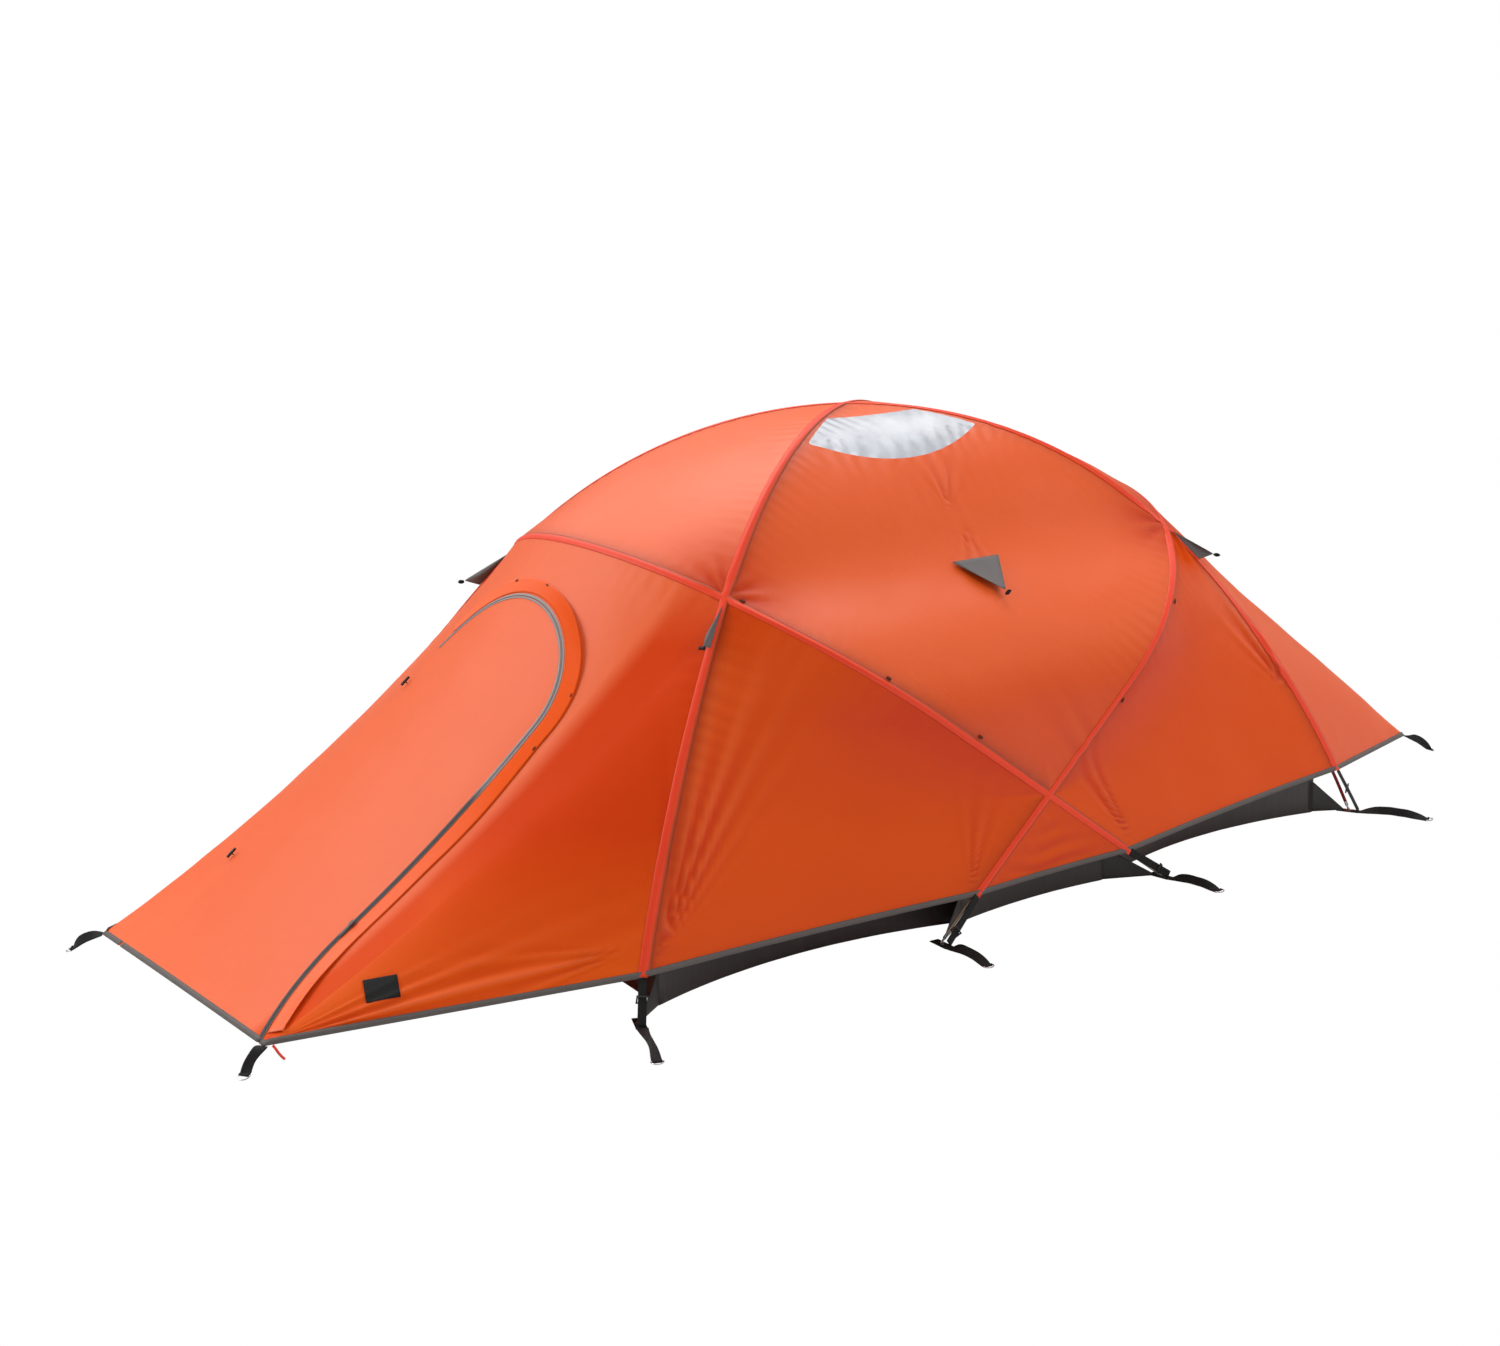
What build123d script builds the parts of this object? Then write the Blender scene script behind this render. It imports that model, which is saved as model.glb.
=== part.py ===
from build123d import *
import math
import os

# Millimetres and degrees. +X points to the rear, -Y to the near side, +Z up from the ground.

# Ridge lines of the flysheet: two diagonals that cross at the apex, and two leaning hoops.
ridge_apex_z = 1212.0
ridge_foot_x = 1255.0
ridge_foot_y = 775.0
hoop_foot_x = 400.0
hoop_foot_y = 830.0
hoop_top_x = 890.0
hoop_top_z = 945.0
hoop_radius = 765.0

# Flysheet hem: heights above the ground, and the corners of the two vestibules.
hem_front_arch_z = 100.0
hem_hoop_z = 95.0
hem_rear_arch_z = 125.0
front_reach = 1985.0
front_half_width = 448.0
front_hem_z = 48.0
rear_reach = 1803.0
rear_half_width = 536.0
rear_hem_z = 80.0
vestibule_corner_rise = 26.0
front_hang = 55.0
rear_hang = 0.0
vestibule_steps = 5
corner_stop = 0.925

# Cloth: thickness, clear space at each seam, and how far panels dip or crown across their width.
cloth_thickness = 1.0
seam_gap = 0.3
seam_width = 26.0
seam_inset = 2.0
seam_thickness = 0.8
top_tape_gap = 1.4
panel_dip = 0.012
crown_power = 3.0
tip_width = 44.0
tip_share = 0.25
panel_rows = 9

# Poles: tube, joints, elastic cord, and how deep each pole lies under the fly.
pole_diameter = 9.0
pole_wall = 0.9
pole_clearance = 0.5
pole_section = 450.0
sleeve_depth = 14.0
low_arch_extra = 6.0
arch_foot_inset = 20.0
hoop_foot_inset = 6.0
ferrule_length = 30.0
ferrule_clearance = 0.25
section_gap = 0.3
elastic_diameter = 2.5
ferrule_bore_clearance = 0.35

# Pole tips and feet: a ball at the end of each pole rests in an eyelet on a webbing tab.
tip_ball_diameter = 8.4
tip_cap_length = 14.0
tip_neck_length = 8.0
tip_neck_diameter = 5.0
eyelet_bore = 6.8
eyelet_wall = 1.6
eyelet_flange = 18.0
eyelet_flange_thickness = 1.2
tab_thickness = 2.0
tab_length = 64.0
tab_width = 26.0
seat_clearance = 0.3

# Inner tent: how far it hangs inside the fly, and its floor tray.
inner_inset = 75.0
tray_height = 110.0
tray_edge_sag = 0.08
tray_middle_sag = 0.04
tray_end_sag = 0.03
clip_wall = 1.8
clip_length = 14.0
clip_clearance = 0.25
arch_clip_places = ((0, 0.45), (0, 0.8), (1, 0.12), (1, 0.3), (1, 0.7), (1, 0.88), (2, 0.2), (2, 0.55))
hoop_clip_places = ((0, 0.75), (1, 0.1), (1, 0.2), (1, 0.42), (1, 0.58), (1, 0.8), (1, 0.9), (2, 0.25))
stem_width = 8.0
stem_thickness = 3.0
gusset_thickness = 1.5
gusset_height = 96.0

# Fly door on the front face, measured on the face from the middle of its lower edge.
door_arch_radius = 300.0
door_arch_centre = 940.0
door_hinge_foot = 335.0
door_zip_foot = 425.0
door_flare_height = 300.0
door_flare_half = 318.0
door_flare_bow = 26.0
door_cut_below = 144.0
face_cut_depth = 400.0
door_gap = 0.6
zip_tape_width = 12.0
zip_tape_thickness = 1.2
storm_flap_width = 46.0
zip_end = 280.0
layer_gap = 0.4
slider_width = 11.0
slider_length = 16.0
slider_height = 5.0
slider_pull_length = 34.0
slider_gap = 1.8
slider_rest = 330.0
slider_travel = 440.0

# Inner door, measured on the inner front wall from the middle of its lower edge.
inner_door_half = 310.0
inner_door_sill = 70.0
inner_door_side = 330.0
inner_door_gap = 0.6
wall_cut_depth = 300.0
inner_slider_rest = 130.0
inner_slider_travel = 260.0
inner_slider_gap = 2.2
inner_slider_rise = 5.4

# Skylight near the apex, seen from above.
window_top_half = 150.0
window_top_y = 112.0
window_side_half = 290.0
window_side_y = 205.0
window_low_y = 268.0
window_overlap = 12.0
window_thickness = 0.8

# Guy-out flaps and their loops.
fin_base = 140.0
fin_reach_out = 140.0
fin_reach_down = 85.0
fin_thickness = 1.2
side_flap_width = 160.0
side_flap_length = 130.0
side_flap_x = 34.0
side_flap_lift = 12.0
loop_outer = 18.0
loop_inner = 10.0
loop_thickness = 2.0

# Webbing straps, buckles and peg rings.
strap_width = 20.0
strap_thickness = 1.6
strap_drop = 1.2
strap_tab_overlap = 4.0
strap_end_rise = 1.0
arch_strap_length = 190.0
hoop_strap_length = 150.0
front_strap_length = 84.0
rear_strap_length = 140.0
arch_strap_lean = 25.0
hoop_strap_lean = 6.0
front_strap_turn = 33.0
rear_strap_turn = 4.0
ring_wire = 3.0
ring_radius = 14.0
ring_clearance = 0.4
buckle_bar = 3.5
buckle_spacing = 16.0
buckle_tilt = 32.0
buckle_side = 3.0
buckle_side_clearance = 1.0
arch_buckle_place = 0.45
hoop_buckle_place = 0.75

# Toggles that hold the rolled door back.
toggle_length = 30.0
toggle_diameter = 7.0
toggle_stalk = 3.0
toggle_lift = 5.0
toggle_edge = 14.0
toggle_places = (336.0, 940.0)
toggle_clearance = 0.8

# Samples taken to find places on curved rows and lines.
row_samples = 401
line_samples = 200

pole_radius = pole_diameter / 2
pole_step = pole_diameter + pole_clearance
ridge_foot_r = math.hypot(ridge_foot_x, ridge_foot_y)
UP = Vector(0, 0, 1)
lean_length = math.hypot(hoop_foot_x + hoop_top_x, hoop_top_z)
LEAN = Vector(-(hoop_foot_x + hoop_top_x), 0, hoop_top_z) / lean_length


def between(a, b, share):
    """Point at a share of the way from a to b."""
    return a + (b - a) * share


def steps(first, last, count):
    """Evenly spaced numbers from first to last."""
    return [first + (last - first) * i / (count - 1) for i in range(count)]


def flip(point, x_side, y_side):
    """Point given for the front near quarter, moved to another quarter."""
    return Vector(-x_side * point.X, -y_side * point.Y, point.Z)


class Arch:
    """Half of a diagonal arch in its upright plane: a top arc and a leg arc, tangent at the crossing."""

    def __init__(self, apex_z, cross_r, cross_z, foot_r, foot_z):
        drop = apex_z - cross_z
        self.top_radius = (cross_r**2 + drop**2) / (2 * drop)
        self.top_centre = (0.0, apex_z - self.top_radius)
        self.cross_angle = math.asin(cross_r / self.top_radius)
        run = foot_r - cross_r
        fall = cross_z - foot_z
        half_turn = math.atan2(fall, run) - self.cross_angle
        self.leg_radius = math.hypot(run, fall) / (2 * math.sin(half_turn))
        self.foot_angle = self.cross_angle + 2 * half_turn
        self.leg_centre = (
            cross_r - self.leg_radius * math.sin(self.cross_angle),
            cross_z - self.leg_radius * math.cos(self.cross_angle),
        )

    def place(self, r, z):
        """Point of the front near quarter at distance r from the upright axis."""
        return Vector(-r * ridge_foot_x / ridge_foot_r, -r * ridge_foot_y / ridge_foot_r, z)

    def top(self, angle):
        """Point of the top arc at an angle from the upright."""
        return self.place(
            self.top_radius * math.sin(angle), self.top_centre[1] + self.top_radius * math.cos(angle)
        )

    def leg(self, angle):
        """Point of the leg arc at an angle from the upright."""
        return self.place(
            self.leg_centre[0] + self.leg_radius * math.sin(angle),
            self.leg_centre[1] + self.leg_radius * math.cos(angle),
        )

    def outward(self, angle):
        """Direction straight out of the arch at an angle from the upright."""
        return self.place(math.sin(angle), math.cos(angle))

    def angle_at(self, z):
        """Angle of the leg's point at height z."""
        return math.acos((z - self.leg_centre[1]) / self.leg_radius)


class Hoop:
    """Half of the front hoop in its leaning plane: a round top, then a straight leg to the foot."""

    def __init__(self, half_width, radius, slant):
        self.half_width = half_width
        self.radius = radius
        self.centre = slant - radius
        reach = math.hypot(half_width, self.centre)
        self.leg_angle = math.pi / 2 - (math.atan2(-self.centre, half_width) + math.acos(radius / reach))

    def place(self, y, slant):
        """Near point at half width y, a slant distance up the leaning plane."""
        return Vector(hoop_foot_x, -y, 0) + LEAN * slant

    def at(self, angle):
        """Point of the round top at an angle from its highest point."""
        return self.place(self.radius * math.sin(angle), self.centre + self.radius * math.cos(angle))

    def leg(self, slant):
        """Point of the straight leg at a slant distance from the ground."""
        top_y = self.radius * math.sin(self.leg_angle)
        top_slant = self.centre + self.radius * math.cos(self.leg_angle)
        return self.place(top_y + (self.half_width - top_y) * (1 - slant / top_slant), slant)

    def leg_top(self):
        """Slant distance at which the leg meets the round top."""
        return self.centre + self.radius * math.cos(self.leg_angle)

    def outward(self, angle):
        """Direction straight out of the round top at an angle from its highest point."""
        return Vector(0, -math.sin(angle), 0) + LEAN * math.cos(angle)

    def arch_crossing(self):
        """Angle from the top at which the hoop meets the upright plane of the diagonal arch."""
        share = ridge_foot_y / ridge_foot_x
        slope = -share * LEAN.X
        start = -share * hoop_foot_x
        a = slope**2 + 1
        b = 2 * slope * start - 2 * self.centre
        c = start**2 + self.centre**2 - self.radius**2
        slant = (-b + math.sqrt(b**2 - 4 * a * c)) / (2 * a)
        return math.asin((slope * slant + start) / self.radius)


class Skin:
    """Ridge lines of one layer of cloth, set in from the fly by an inset."""

    def __init__(self, inset):
        self.hoop = Hoop(hoop_foot_y - inset, hoop_radius - inset, lean_length - inset)
        self.hoop_cross = self.hoop.arch_crossing()
        self.cross = self.hoop.at(self.hoop_cross)
        cross_r = math.hypot(self.cross.X, self.cross.Y)
        self.arch = Arch(ridge_apex_z - inset, cross_r, self.cross.Z, ridge_foot_r - inset, 0.0)
        self.hoop_top = self.hoop.at(0.0)
        self.middle_slant = -hoop_foot_x / LEAN.X
        self.middle = self.hoop.leg(self.middle_slant)

    def arch_hem(self, z):
        """Point of the diagonal ridge's leg at height z."""
        return self.arch.leg(self.arch.angle_at(z))

    def hoop_hem(self, z):
        """Point of the front hoop's leg at height z, beyond the middle of the side."""
        return self.hoop.leg(z / LEAN.Z)


fly = Skin(0.0)
inner = Skin(inner_inset)


# Panels of cloth

def row(left, right, dip, out):
    """One row across a panel: left edge, middle and right edge, the middle set in by dip along out."""
    return (left, (left + right) / 2 - out * dip, right)


def panel(rows, lift=0.0, thickness=cloth_thickness):
    """Thin panel through rows that run down it from left to right, seen from outside."""
    wires = []
    for i, (left, mid, right) in enumerate(rows):
        before = rows[max(i - 1, 0)][1]
        after = rows[min(i + 1, len(rows) - 1)][1]
        across = (right - left).normalized()
        section = across.cross(mid - (left + right) / 2).normalized()
        out = section.cross(across)
        out = out * math.copysign(1.0, out.dot((after - before).cross(across)))
        near_edge = across * seam_gap
        deep_edge = across * (seam_gap + thickness)
        high = out * lift
        low = out * (lift - thickness)
        outer = Edge.make_three_point_arc(left + near_edge + high, mid + high, right - near_edge + high)
        under = Edge.make_three_point_arc(right - deep_edge + low, mid + low, left + deep_edge + low)
        ends = (
            Edge.make_line(outer @ 1, under @ 0),
            Edge.make_line(under @ 1, outer @ 0),
        )
        wires.append(Wire([outer, ends[0], under, ends[1]]))
    return Solid.make_loft(wires, ruled=True)


def side_out(point):
    """Rough outward direction on the side of the tent."""
    return Vector(0, point.Y, point.Z / 2).normalized()


def level_row(left, right, dip):
    """Row whose middle is set in level with its ends, by a share of its length."""
    chord = right - left
    return row(left, right, dip * chord.length, chord.cross(UP).normalized())


def top_angles(skin):
    """Angles of the rows between the apex and the crossing of arch and hoop."""
    first = tip_width / 2 / skin.arch.top_radius * ridge_foot_r / ridge_foot_y
    return steps(first, skin.arch.cross_angle, panel_rows)


def side_rows(skin):
    """Rows of the side panel between the two diagonals and the two hoops."""
    lefts = [skin.arch.top(angle) for angle in top_angles(skin)]
    lefts += [skin.hoop.at(angle) for angle in steps(skin.hoop_cross, skin.hoop.leg_angle, 5)[1:]]
    last = skin.middle_slant + tip_width / 2 / -LEAN.X
    lefts += [skin.hoop.leg(slant) for slant in steps(skin.hoop.leg_top(), last, 4)[1:]]
    return [row(p, flip(p, 1, -1), panel_dip * -2 * p.X, side_out(p)) for p in lefts]


def top_rows(skin):
    """Rows of the top panel between the two diagonals and the front hoop."""
    rows = []
    rise = skin.hoop.radius * (1 - math.cos(skin.hoop_cross))
    for angle in top_angles(skin):
        near = skin.arch.top(angle)
        share = math.sin(angle) / math.sin(skin.arch.cross_angle)
        rows.append(row(flip(near, -1, 1), near, -rise * share**crown_power, LEAN))
    return rows


def lower_rows(skin, arch_z, hoop_z, last_dip):
    """Rows of the lower panel between the diagonal's leg, the front hoop and the rear hoop's leg."""
    arch_angles = steps(skin.arch.cross_angle, skin.arch.angle_at(arch_z), panel_rows)
    on_hoop = panel_rows - 3
    half = on_hoop // 2
    rights = [skin.hoop.at(a) for a in steps(skin.hoop_cross, skin.hoop.leg_angle, half + 1)]
    slants = steps(skin.hoop.leg_top(), skin.middle_slant, on_hoop - half)
    rights += [skin.hoop.leg(s) for s in slants[1:]]
    rear_leg = [flip(skin.hoop.leg(s), 1, -1) for s in steps(skin.middle_slant, hoop_z / LEAN.Z, 4)]
    rights += rear_leg[1:]
    rows = []
    for i in range(1, panel_rows):
        left = skin.arch.leg(arch_angles[i])
        right = rights[i]
        share = i / (panel_rows - 1)
        dip = panel_dip + (last_dip - panel_dip) * share**3
        rows.append(level_row(left, right, dip))
    first = rows[0]
    tip_left = between(skin.cross, first[0], tip_share)
    tip_right = between(skin.cross, first[2], tip_share)
    return [level_row(tip_left, tip_right, panel_dip)] + rows


def middle_rows(skin, hoop_z, last_dip):
    """Rows of the small lower panel between the two hoops' legs."""
    rows = []
    first = skin.middle_slant - tip_width / 2 / -LEAN.X
    for slant in steps(first, hoop_z / LEAN.Z, 5):
        right = skin.hoop.leg(slant)
        share = (first - slant) / (first - hoop_z / LEAN.Z)
        dip = panel_dip + (last_dip - panel_dip) * share**3
        rows.append(level_row(flip(right, 1, -1), right, dip))
    return rows


def hang(corner, share, depth):
    """How far a vestibule's face hangs in, at a share of the way down its slope."""
    return face_plane(corner).z_dir * (depth * 4 * share * (1 - share))


def vestibule_side_rows(corner, arch_z, depth):
    """Rows of a vestibule's side, from the diagonal's leg to the corner, each from fold to hem."""
    hem = fly.arch_hem(arch_z)
    mid = fly.arch.leg((fly.arch.cross_angle + fly.arch.angle_at(arch_z)) / 2)
    corner_top = corner + UP * vestibule_corner_rise
    corner_mid = (corner + corner_top) / 2 + Vector(0, -panel_dip * vestibule_corner_rise, 0)
    rows = []
    for share in steps(0.0, 1.0, vestibule_steps + 1):
        fold = between(fly.cross, corner_top, share) - hang(corner, share, depth)
        middle = between(mid, corner_mid, share) - hang(corner, share, depth / 2)
        rows.append((fold, middle, between(hem, corner, share)))
    rows[-1] = tuple(between(a, b, corner_stop) for a, b in zip(rows[-2], rows[-1]))
    return rows


def vestibule_face_rows(corner, depth):
    """Rows of a vestibule's sloping face, from the front hoop's top to the lower edge, far to near."""
    edge_mid = Vector(corner.X, 0, corner.Z) + face_plane(corner).z_dir * (panel_dip * 2 * -corner.Y)
    top = (flip(fly.cross, -1, 1), fly.hoop_top, fly.cross)
    low = (flip(corner, -1, 1), edge_mid, corner)
    rows = []
    for share in steps(0.0, 1.0, vestibule_steps + 1):
        rows.append(tuple(between(a, b, share) - hang(corner, share, depth) for a, b in zip(top, low)))
    return rows


def face_plane(corner):
    """Plane of a vestibule's face: X to the near side, Y up the slope, from the middle of the lower edge."""
    foot = Vector(corner.X, 0, corner.Z)
    slope = fly.hoop_top - foot
    return Plane(origin=foot, x_dir=(0, -1, 0), z_dir=Vector(0, -1, 0).cross(slope))


front_corner = Vector(-front_reach, -front_half_width, front_hem_z)
rear_corner = Vector(-rear_reach, -rear_half_width, rear_hem_z)
front_plane = face_plane(front_corner)
front_rows = vestibule_face_rows(front_corner, front_hang)
layer_pitch = cloth_thickness + layer_gap


# Fly door and what is sewn round it

def door_outline(grow):
    """Outline of the fly door on the face, grown outwards by grow on the zip and hinge sides."""
    radius = door_arch_radius + grow
    drop = -door_cut_below
    hinge_slope = (door_hinge_foot - door_arch_radius) / door_arch_centre
    hinge_low = -(door_hinge_foot - hinge_slope * drop + grow)
    flare_low = Vector(door_zip_foot + grow, 0)
    flare_high = Vector(door_flare_half + grow, door_flare_height)
    flare_mid = (flare_low + flare_high) / 2 - Vector(door_flare_bow, 0)
    edges = [
        Edge.make_line((hinge_low, drop), (flare_low.X, drop)),
        Edge.make_line((flare_low.X, drop), flare_low),
        Edge.make_three_point_arc(flare_low, flare_mid, flare_high),
        Edge.make_line(flare_high, (radius, door_arch_centre)),
        Edge.make_three_point_arc(
            (radius, door_arch_centre), (0, door_arch_centre + radius), (-radius, door_arch_centre)
        ),
        Edge.make_line((-radius, door_arch_centre), (hinge_low, drop)),
    ]
    return Face(Wire(edges))


def on_face(face):
    """Prism of an outline on the front face, through the cloth."""
    start = front_plane * Pos(0, 0, -face_cut_depth / 2)
    return extrude(start * face, face_cut_depth, dir=front_plane.z_dir)


def face_layer(level, thickness):
    """Sheet that follows the front face, level layers above the fly."""
    return Part() + panel(front_rows, level, thickness)


front_face = face_layer(0.0, cloth_thickness)
fly_door = front_face & on_face(door_outline(0.0))
fly_front_face = front_face - on_face(door_outline(door_gap))

tape_base = layer_gap + zip_tape_thickness
# The tape and the flap run from the near corner over the arch, and stop short of the hinge line.
zip_part = Rectangle(2 * door_zip_foot + zip_end, 4 * door_arch_centre).face()
zip_side = on_face(Pos(door_zip_foot - zip_end / 2, door_arch_centre / 2) * zip_part)
zip_band = on_face(door_outline(door_gap + zip_tape_width)) - on_face(door_outline(door_gap))
flap_band = on_face(door_outline(door_gap + zip_tape_width + storm_flap_width))
flap_band -= on_face(door_outline(door_gap + zip_tape_width + layer_gap))
door_zip_tape = face_layer(tape_base, zip_tape_thickness) & zip_band & zip_side
door_storm_flap = face_layer(tape_base, zip_tape_thickness) & flap_band & zip_side


def surface_point(rows, plane, across, up, high=0.0):
    """Point on a panel at coordinates across and up on its plane, high above the cloth."""
    found = []
    for upper, lower in zip(rows, rows[1:]):
        tops = Edge.make_three_point_arc(*upper)
        lows = Edge.make_three_point_arc(*lower)
        for share in steps(0.0, 1.0, row_samples):
            top = plane.to_local_coords(tops @ share)
            low = plane.to_local_coords(lows @ share)
            part = (up - low.Y) / (top.Y - low.Y)
            spot = between(low, top, part)
            if -0.001 <= part <= 1.001:
                found.append((abs(spot.X - across), spot.Z))
    return plane.from_local_coords(Vector(across, up, min(found)[1] + high))


def face_point(across, up, high=0.0):
    """Point on the front face at face coordinates, high above the cloth."""
    return surface_point(front_rows, front_plane, across, up, high)


# Poles

class ArcRun:
    """Stretch of a pole on one circular arc."""

    def __init__(self, centre, axis, start, turn):
        self.centre = centre
        self.axis = axis * math.copysign(1.0, turn)
        self.radius = (start - centre).length
        self.first = (start - centre) / self.radius
        self.second = self.axis.cross(self.first)
        self.length = self.radius * abs(turn)

    def point(self, distance):
        turn = distance / self.radius
        return self.centre + (self.first * math.cos(turn) + self.second * math.sin(turn)) * self.radius

    def tangent(self, distance):
        turn = distance / self.radius
        return self.second * math.cos(turn) - self.first * math.sin(turn)

    def tube(self, start, end, section):
        face = Plane(origin=self.point(start), z_dir=self.tangent(start)) * section
        return revolve(face, Axis(self.centre, self.axis), math.degrees((end - start) / self.radius))


class LineRun:
    """Straight stretch of a pole."""

    def __init__(self, start, end):
        self.start = start
        self.length = (end - start).length
        self.direction = (end - start).normalized()

    def point(self, distance):
        return self.start + self.direction * distance

    def tangent(self, distance):
        return self.direction

    def tube(self, start, end, section):
        return extrude(Plane(origin=self.point(start), z_dir=self.direction) * section, end - start)


ball_z = tab_thickness + eyelet_flange_thickness + seat_clearance
ball_z += math.sqrt((tip_ball_diameter / 2) ** 2 - (eyelet_bore / 2) ** 2)
tip_reach = tip_ball_diameter / 2 + tip_neck_length + tip_cap_length


def arch_pole(x_side, apex_inset, cross_inset):
    """Runs of a diagonal pole from its near foot to its far foot."""
    angle = fly.arch.cross_angle
    cross = fly.cross - fly.arch.outward(angle) * cross_inset
    cross_r = math.hypot(cross.X, cross.Y)
    arch = Arch(ridge_apex_z - apex_inset, cross_r, cross.Z, ridge_foot_r - arch_foot_inset, ball_z)
    outward = flip(arch.place(1.0, 0.0), x_side, -1)
    axis = outward.cross(UP)

    def spot(centre, radius, turn, side):
        reach = side * centre[0] + radius * math.sin(turn)
        return outward * reach + UP * (centre[1] + radius * math.cos(turn))

    leg_turn = arch.foot_angle - arch.cross_angle
    near_centre = outward * arch.leg_centre[0] + UP * arch.leg_centre[1]
    far_centre = outward * -arch.leg_centre[0] + UP * arch.leg_centre[1]
    top_centre = UP * arch.top_centre[1]
    foot = spot(arch.leg_centre, arch.leg_radius, arch.foot_angle, 1)
    near_cross = spot(arch.top_centre, arch.top_radius, arch.cross_angle, 1)
    far_cross = spot(arch.leg_centre, arch.leg_radius, -arch.cross_angle, -1)
    return [
        ArcRun(near_centre, axis, foot, leg_turn),
        ArcRun(top_centre, axis, near_cross, 2 * arch.cross_angle),
        ArcRun(far_centre, axis, far_cross, leg_turn),
    ]


def hoop_pole(x_side, inset, foot_inset):
    """Runs of a hoop's pole from its near foot to its far foot; x_side is where the hoop's top leans."""
    hoop = Hoop(hoop_foot_y - foot_inset, hoop_radius - inset, lean_length - inset)
    foot = hoop.leg(ball_z / LEAN.Z)
    leg_top = hoop.at(hoop.leg_angle)
    lean = Vector(-x_side * LEAN.X, 0, LEAN.Z)
    centre = Vector(-x_side * hoop_foot_x, 0, 0) + lean * hoop.centre
    axis = Vector(0, -1, 0).cross(lean)
    return [
        LineRun(flip(foot, x_side, -1), flip(leg_top, x_side, -1)),
        ArcRun(centre, axis, flip(leg_top, x_side, -1), 2 * hoop.leg_angle),
        LineRun(flip(leg_top, x_side, 1), flip(foot, x_side, 1)),
    ]


hoop_inset = sleeve_depth + low_arch_extra + pole_step + 3 * pole_clearance
pole_runs = {
    "pole_a": arch_pole(-1, sleeve_depth + pole_step, sleeve_depth + low_arch_extra),
    "pole_b": hoop_pole(-1, hoop_inset + pole_step, hoop_foot_inset + pole_step),
    "pole_c": hoop_pole(1, hoop_inset, hoop_foot_inset),
    "pole_d": arch_pole(1, sleeve_depth, sleeve_depth),
}


def pole_pieces(runs):
    """Tube sections and ferrules of one pole, and the elastic cord through it."""
    bore = pole_radius - pole_wall
    tube_section = Circle(pole_radius) - Circle(bore)
    ferrule_outer = bore - ferrule_clearance
    ferrule_section = Circle(ferrule_outer) - Circle(elastic_diameter / 2 + ferrule_bore_clearance)
    cord_section = Circle(elastic_diameter / 2)
    tubes = []
    ferrules = []
    cord = Part()
    for i, run in enumerate(runs):
        start = tip_reach if i == 0 else 0.0
        end = run.length - (tip_reach if i == len(runs) - 1 else 0.0)
        count = max(1, round((end - start) / pole_section))
        marks = steps(start, end, count + 1)
        for a, b in zip(marks, marks[1:]):
            tubes.append(run.tube(a + section_gap / 2, b - section_gap / 2, tube_section))
        joints = marks[1:] if i < len(runs) - 1 else marks[1:-1]
        for mark in joints:
            axis = run.tangent(mark)
            foot = run.point(mark) - axis * (ferrule_length / 2)
            ferrules.append(extrude(Plane(origin=foot, z_dir=axis) * ferrule_section, ferrule_length))
        cord += run.tube(start, end, cord_section)
    return tubes + ferrules, cord


def pole_tip(foot, direction):
    """Turned tip: ball in the eyelet, neck, and a plug that meets the end of the tube."""
    ball = tip_ball_diameter / 2
    neck = tip_neck_diameter / 2
    neck_z = math.sqrt(ball**2 - neck**2)
    plug_z = tip_reach - tip_cap_length
    end_z = tip_reach - section_gap / 2
    outline = [
        Edge.make_three_point_arc((0, 0, -ball), (ball, 0, 0), (neck, 0, neck_z)),
        Edge.make_line((neck, 0, neck_z), (neck, 0, plug_z)),
        Edge.make_line((neck, 0, plug_z), (pole_radius, 0, plug_z)),
        Edge.make_line((pole_radius, 0, plug_z), (pole_radius, 0, end_z)),
        Edge.make_line((pole_radius, 0, end_z), (0, 0, end_z)),
        Edge.make_line((0, 0, end_z), (0, 0, -ball)),
    ]
    return Plane(origin=foot, z_dir=direction) * revolve(Face(Wire(outline)), Axis.Z)


feet = []
for name, runs in pole_runs.items():
    last = runs[-1]
    feet.append((name, "near", runs[0].point(0.0), runs[0].tangent(0.0)))
    feet.append((name, "far", last.point(last.length), last.tangent(last.length) * -1))


# Feet, straps and rings

def strap_heading(name, foot):
    """Direction along the ground in which a foot's strap is pulled."""
    lean = math.radians(arch_strap_lean if name in ("pole_a", "pole_d") else hoop_strap_lean)
    x_side = math.copysign(1.0, foot.X)
    y_side = math.copysign(1.0, foot.Y)
    return Vector(x_side * math.sin(lean), y_side * math.cos(lean), 0)


def lying(origin, heading, normal=UP):
    """Plane at origin with X along heading."""
    return Plane(origin=origin, x_dir=heading, z_dir=normal)


def foot_tab(foot, heading):
    """Webbing tab on the ground under a pole tip, with a hole for the eyelet."""
    base = lying(Vector(foot.X, foot.Y, 0), heading)
    hole = eyelet_bore / 2 + eyelet_wall + ferrule_clearance
    sketch = Rectangle(tab_length, tab_width) - Circle(hole)
    return extrude(base * sketch, tab_thickness)


def eyelet(foot):
    """Flanged eyelet in the tab, under the ball of the pole tip."""
    barrel = Circle(eyelet_bore / 2 + eyelet_wall) - Circle(eyelet_bore / 2)
    flange = Circle(eyelet_flange / 2) - Circle(eyelet_bore / 2)
    centre = Pos(foot.X, foot.Y, 0)
    ring = Pos(0, 0, tab_thickness) * extrude(flange, eyelet_flange_thickness)
    return centre * (extrude(barrel, tab_thickness) + ring)


eye_radius = ring_wire / 2 + ring_clearance
eye_outer = eye_radius + strap_thickness


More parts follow.
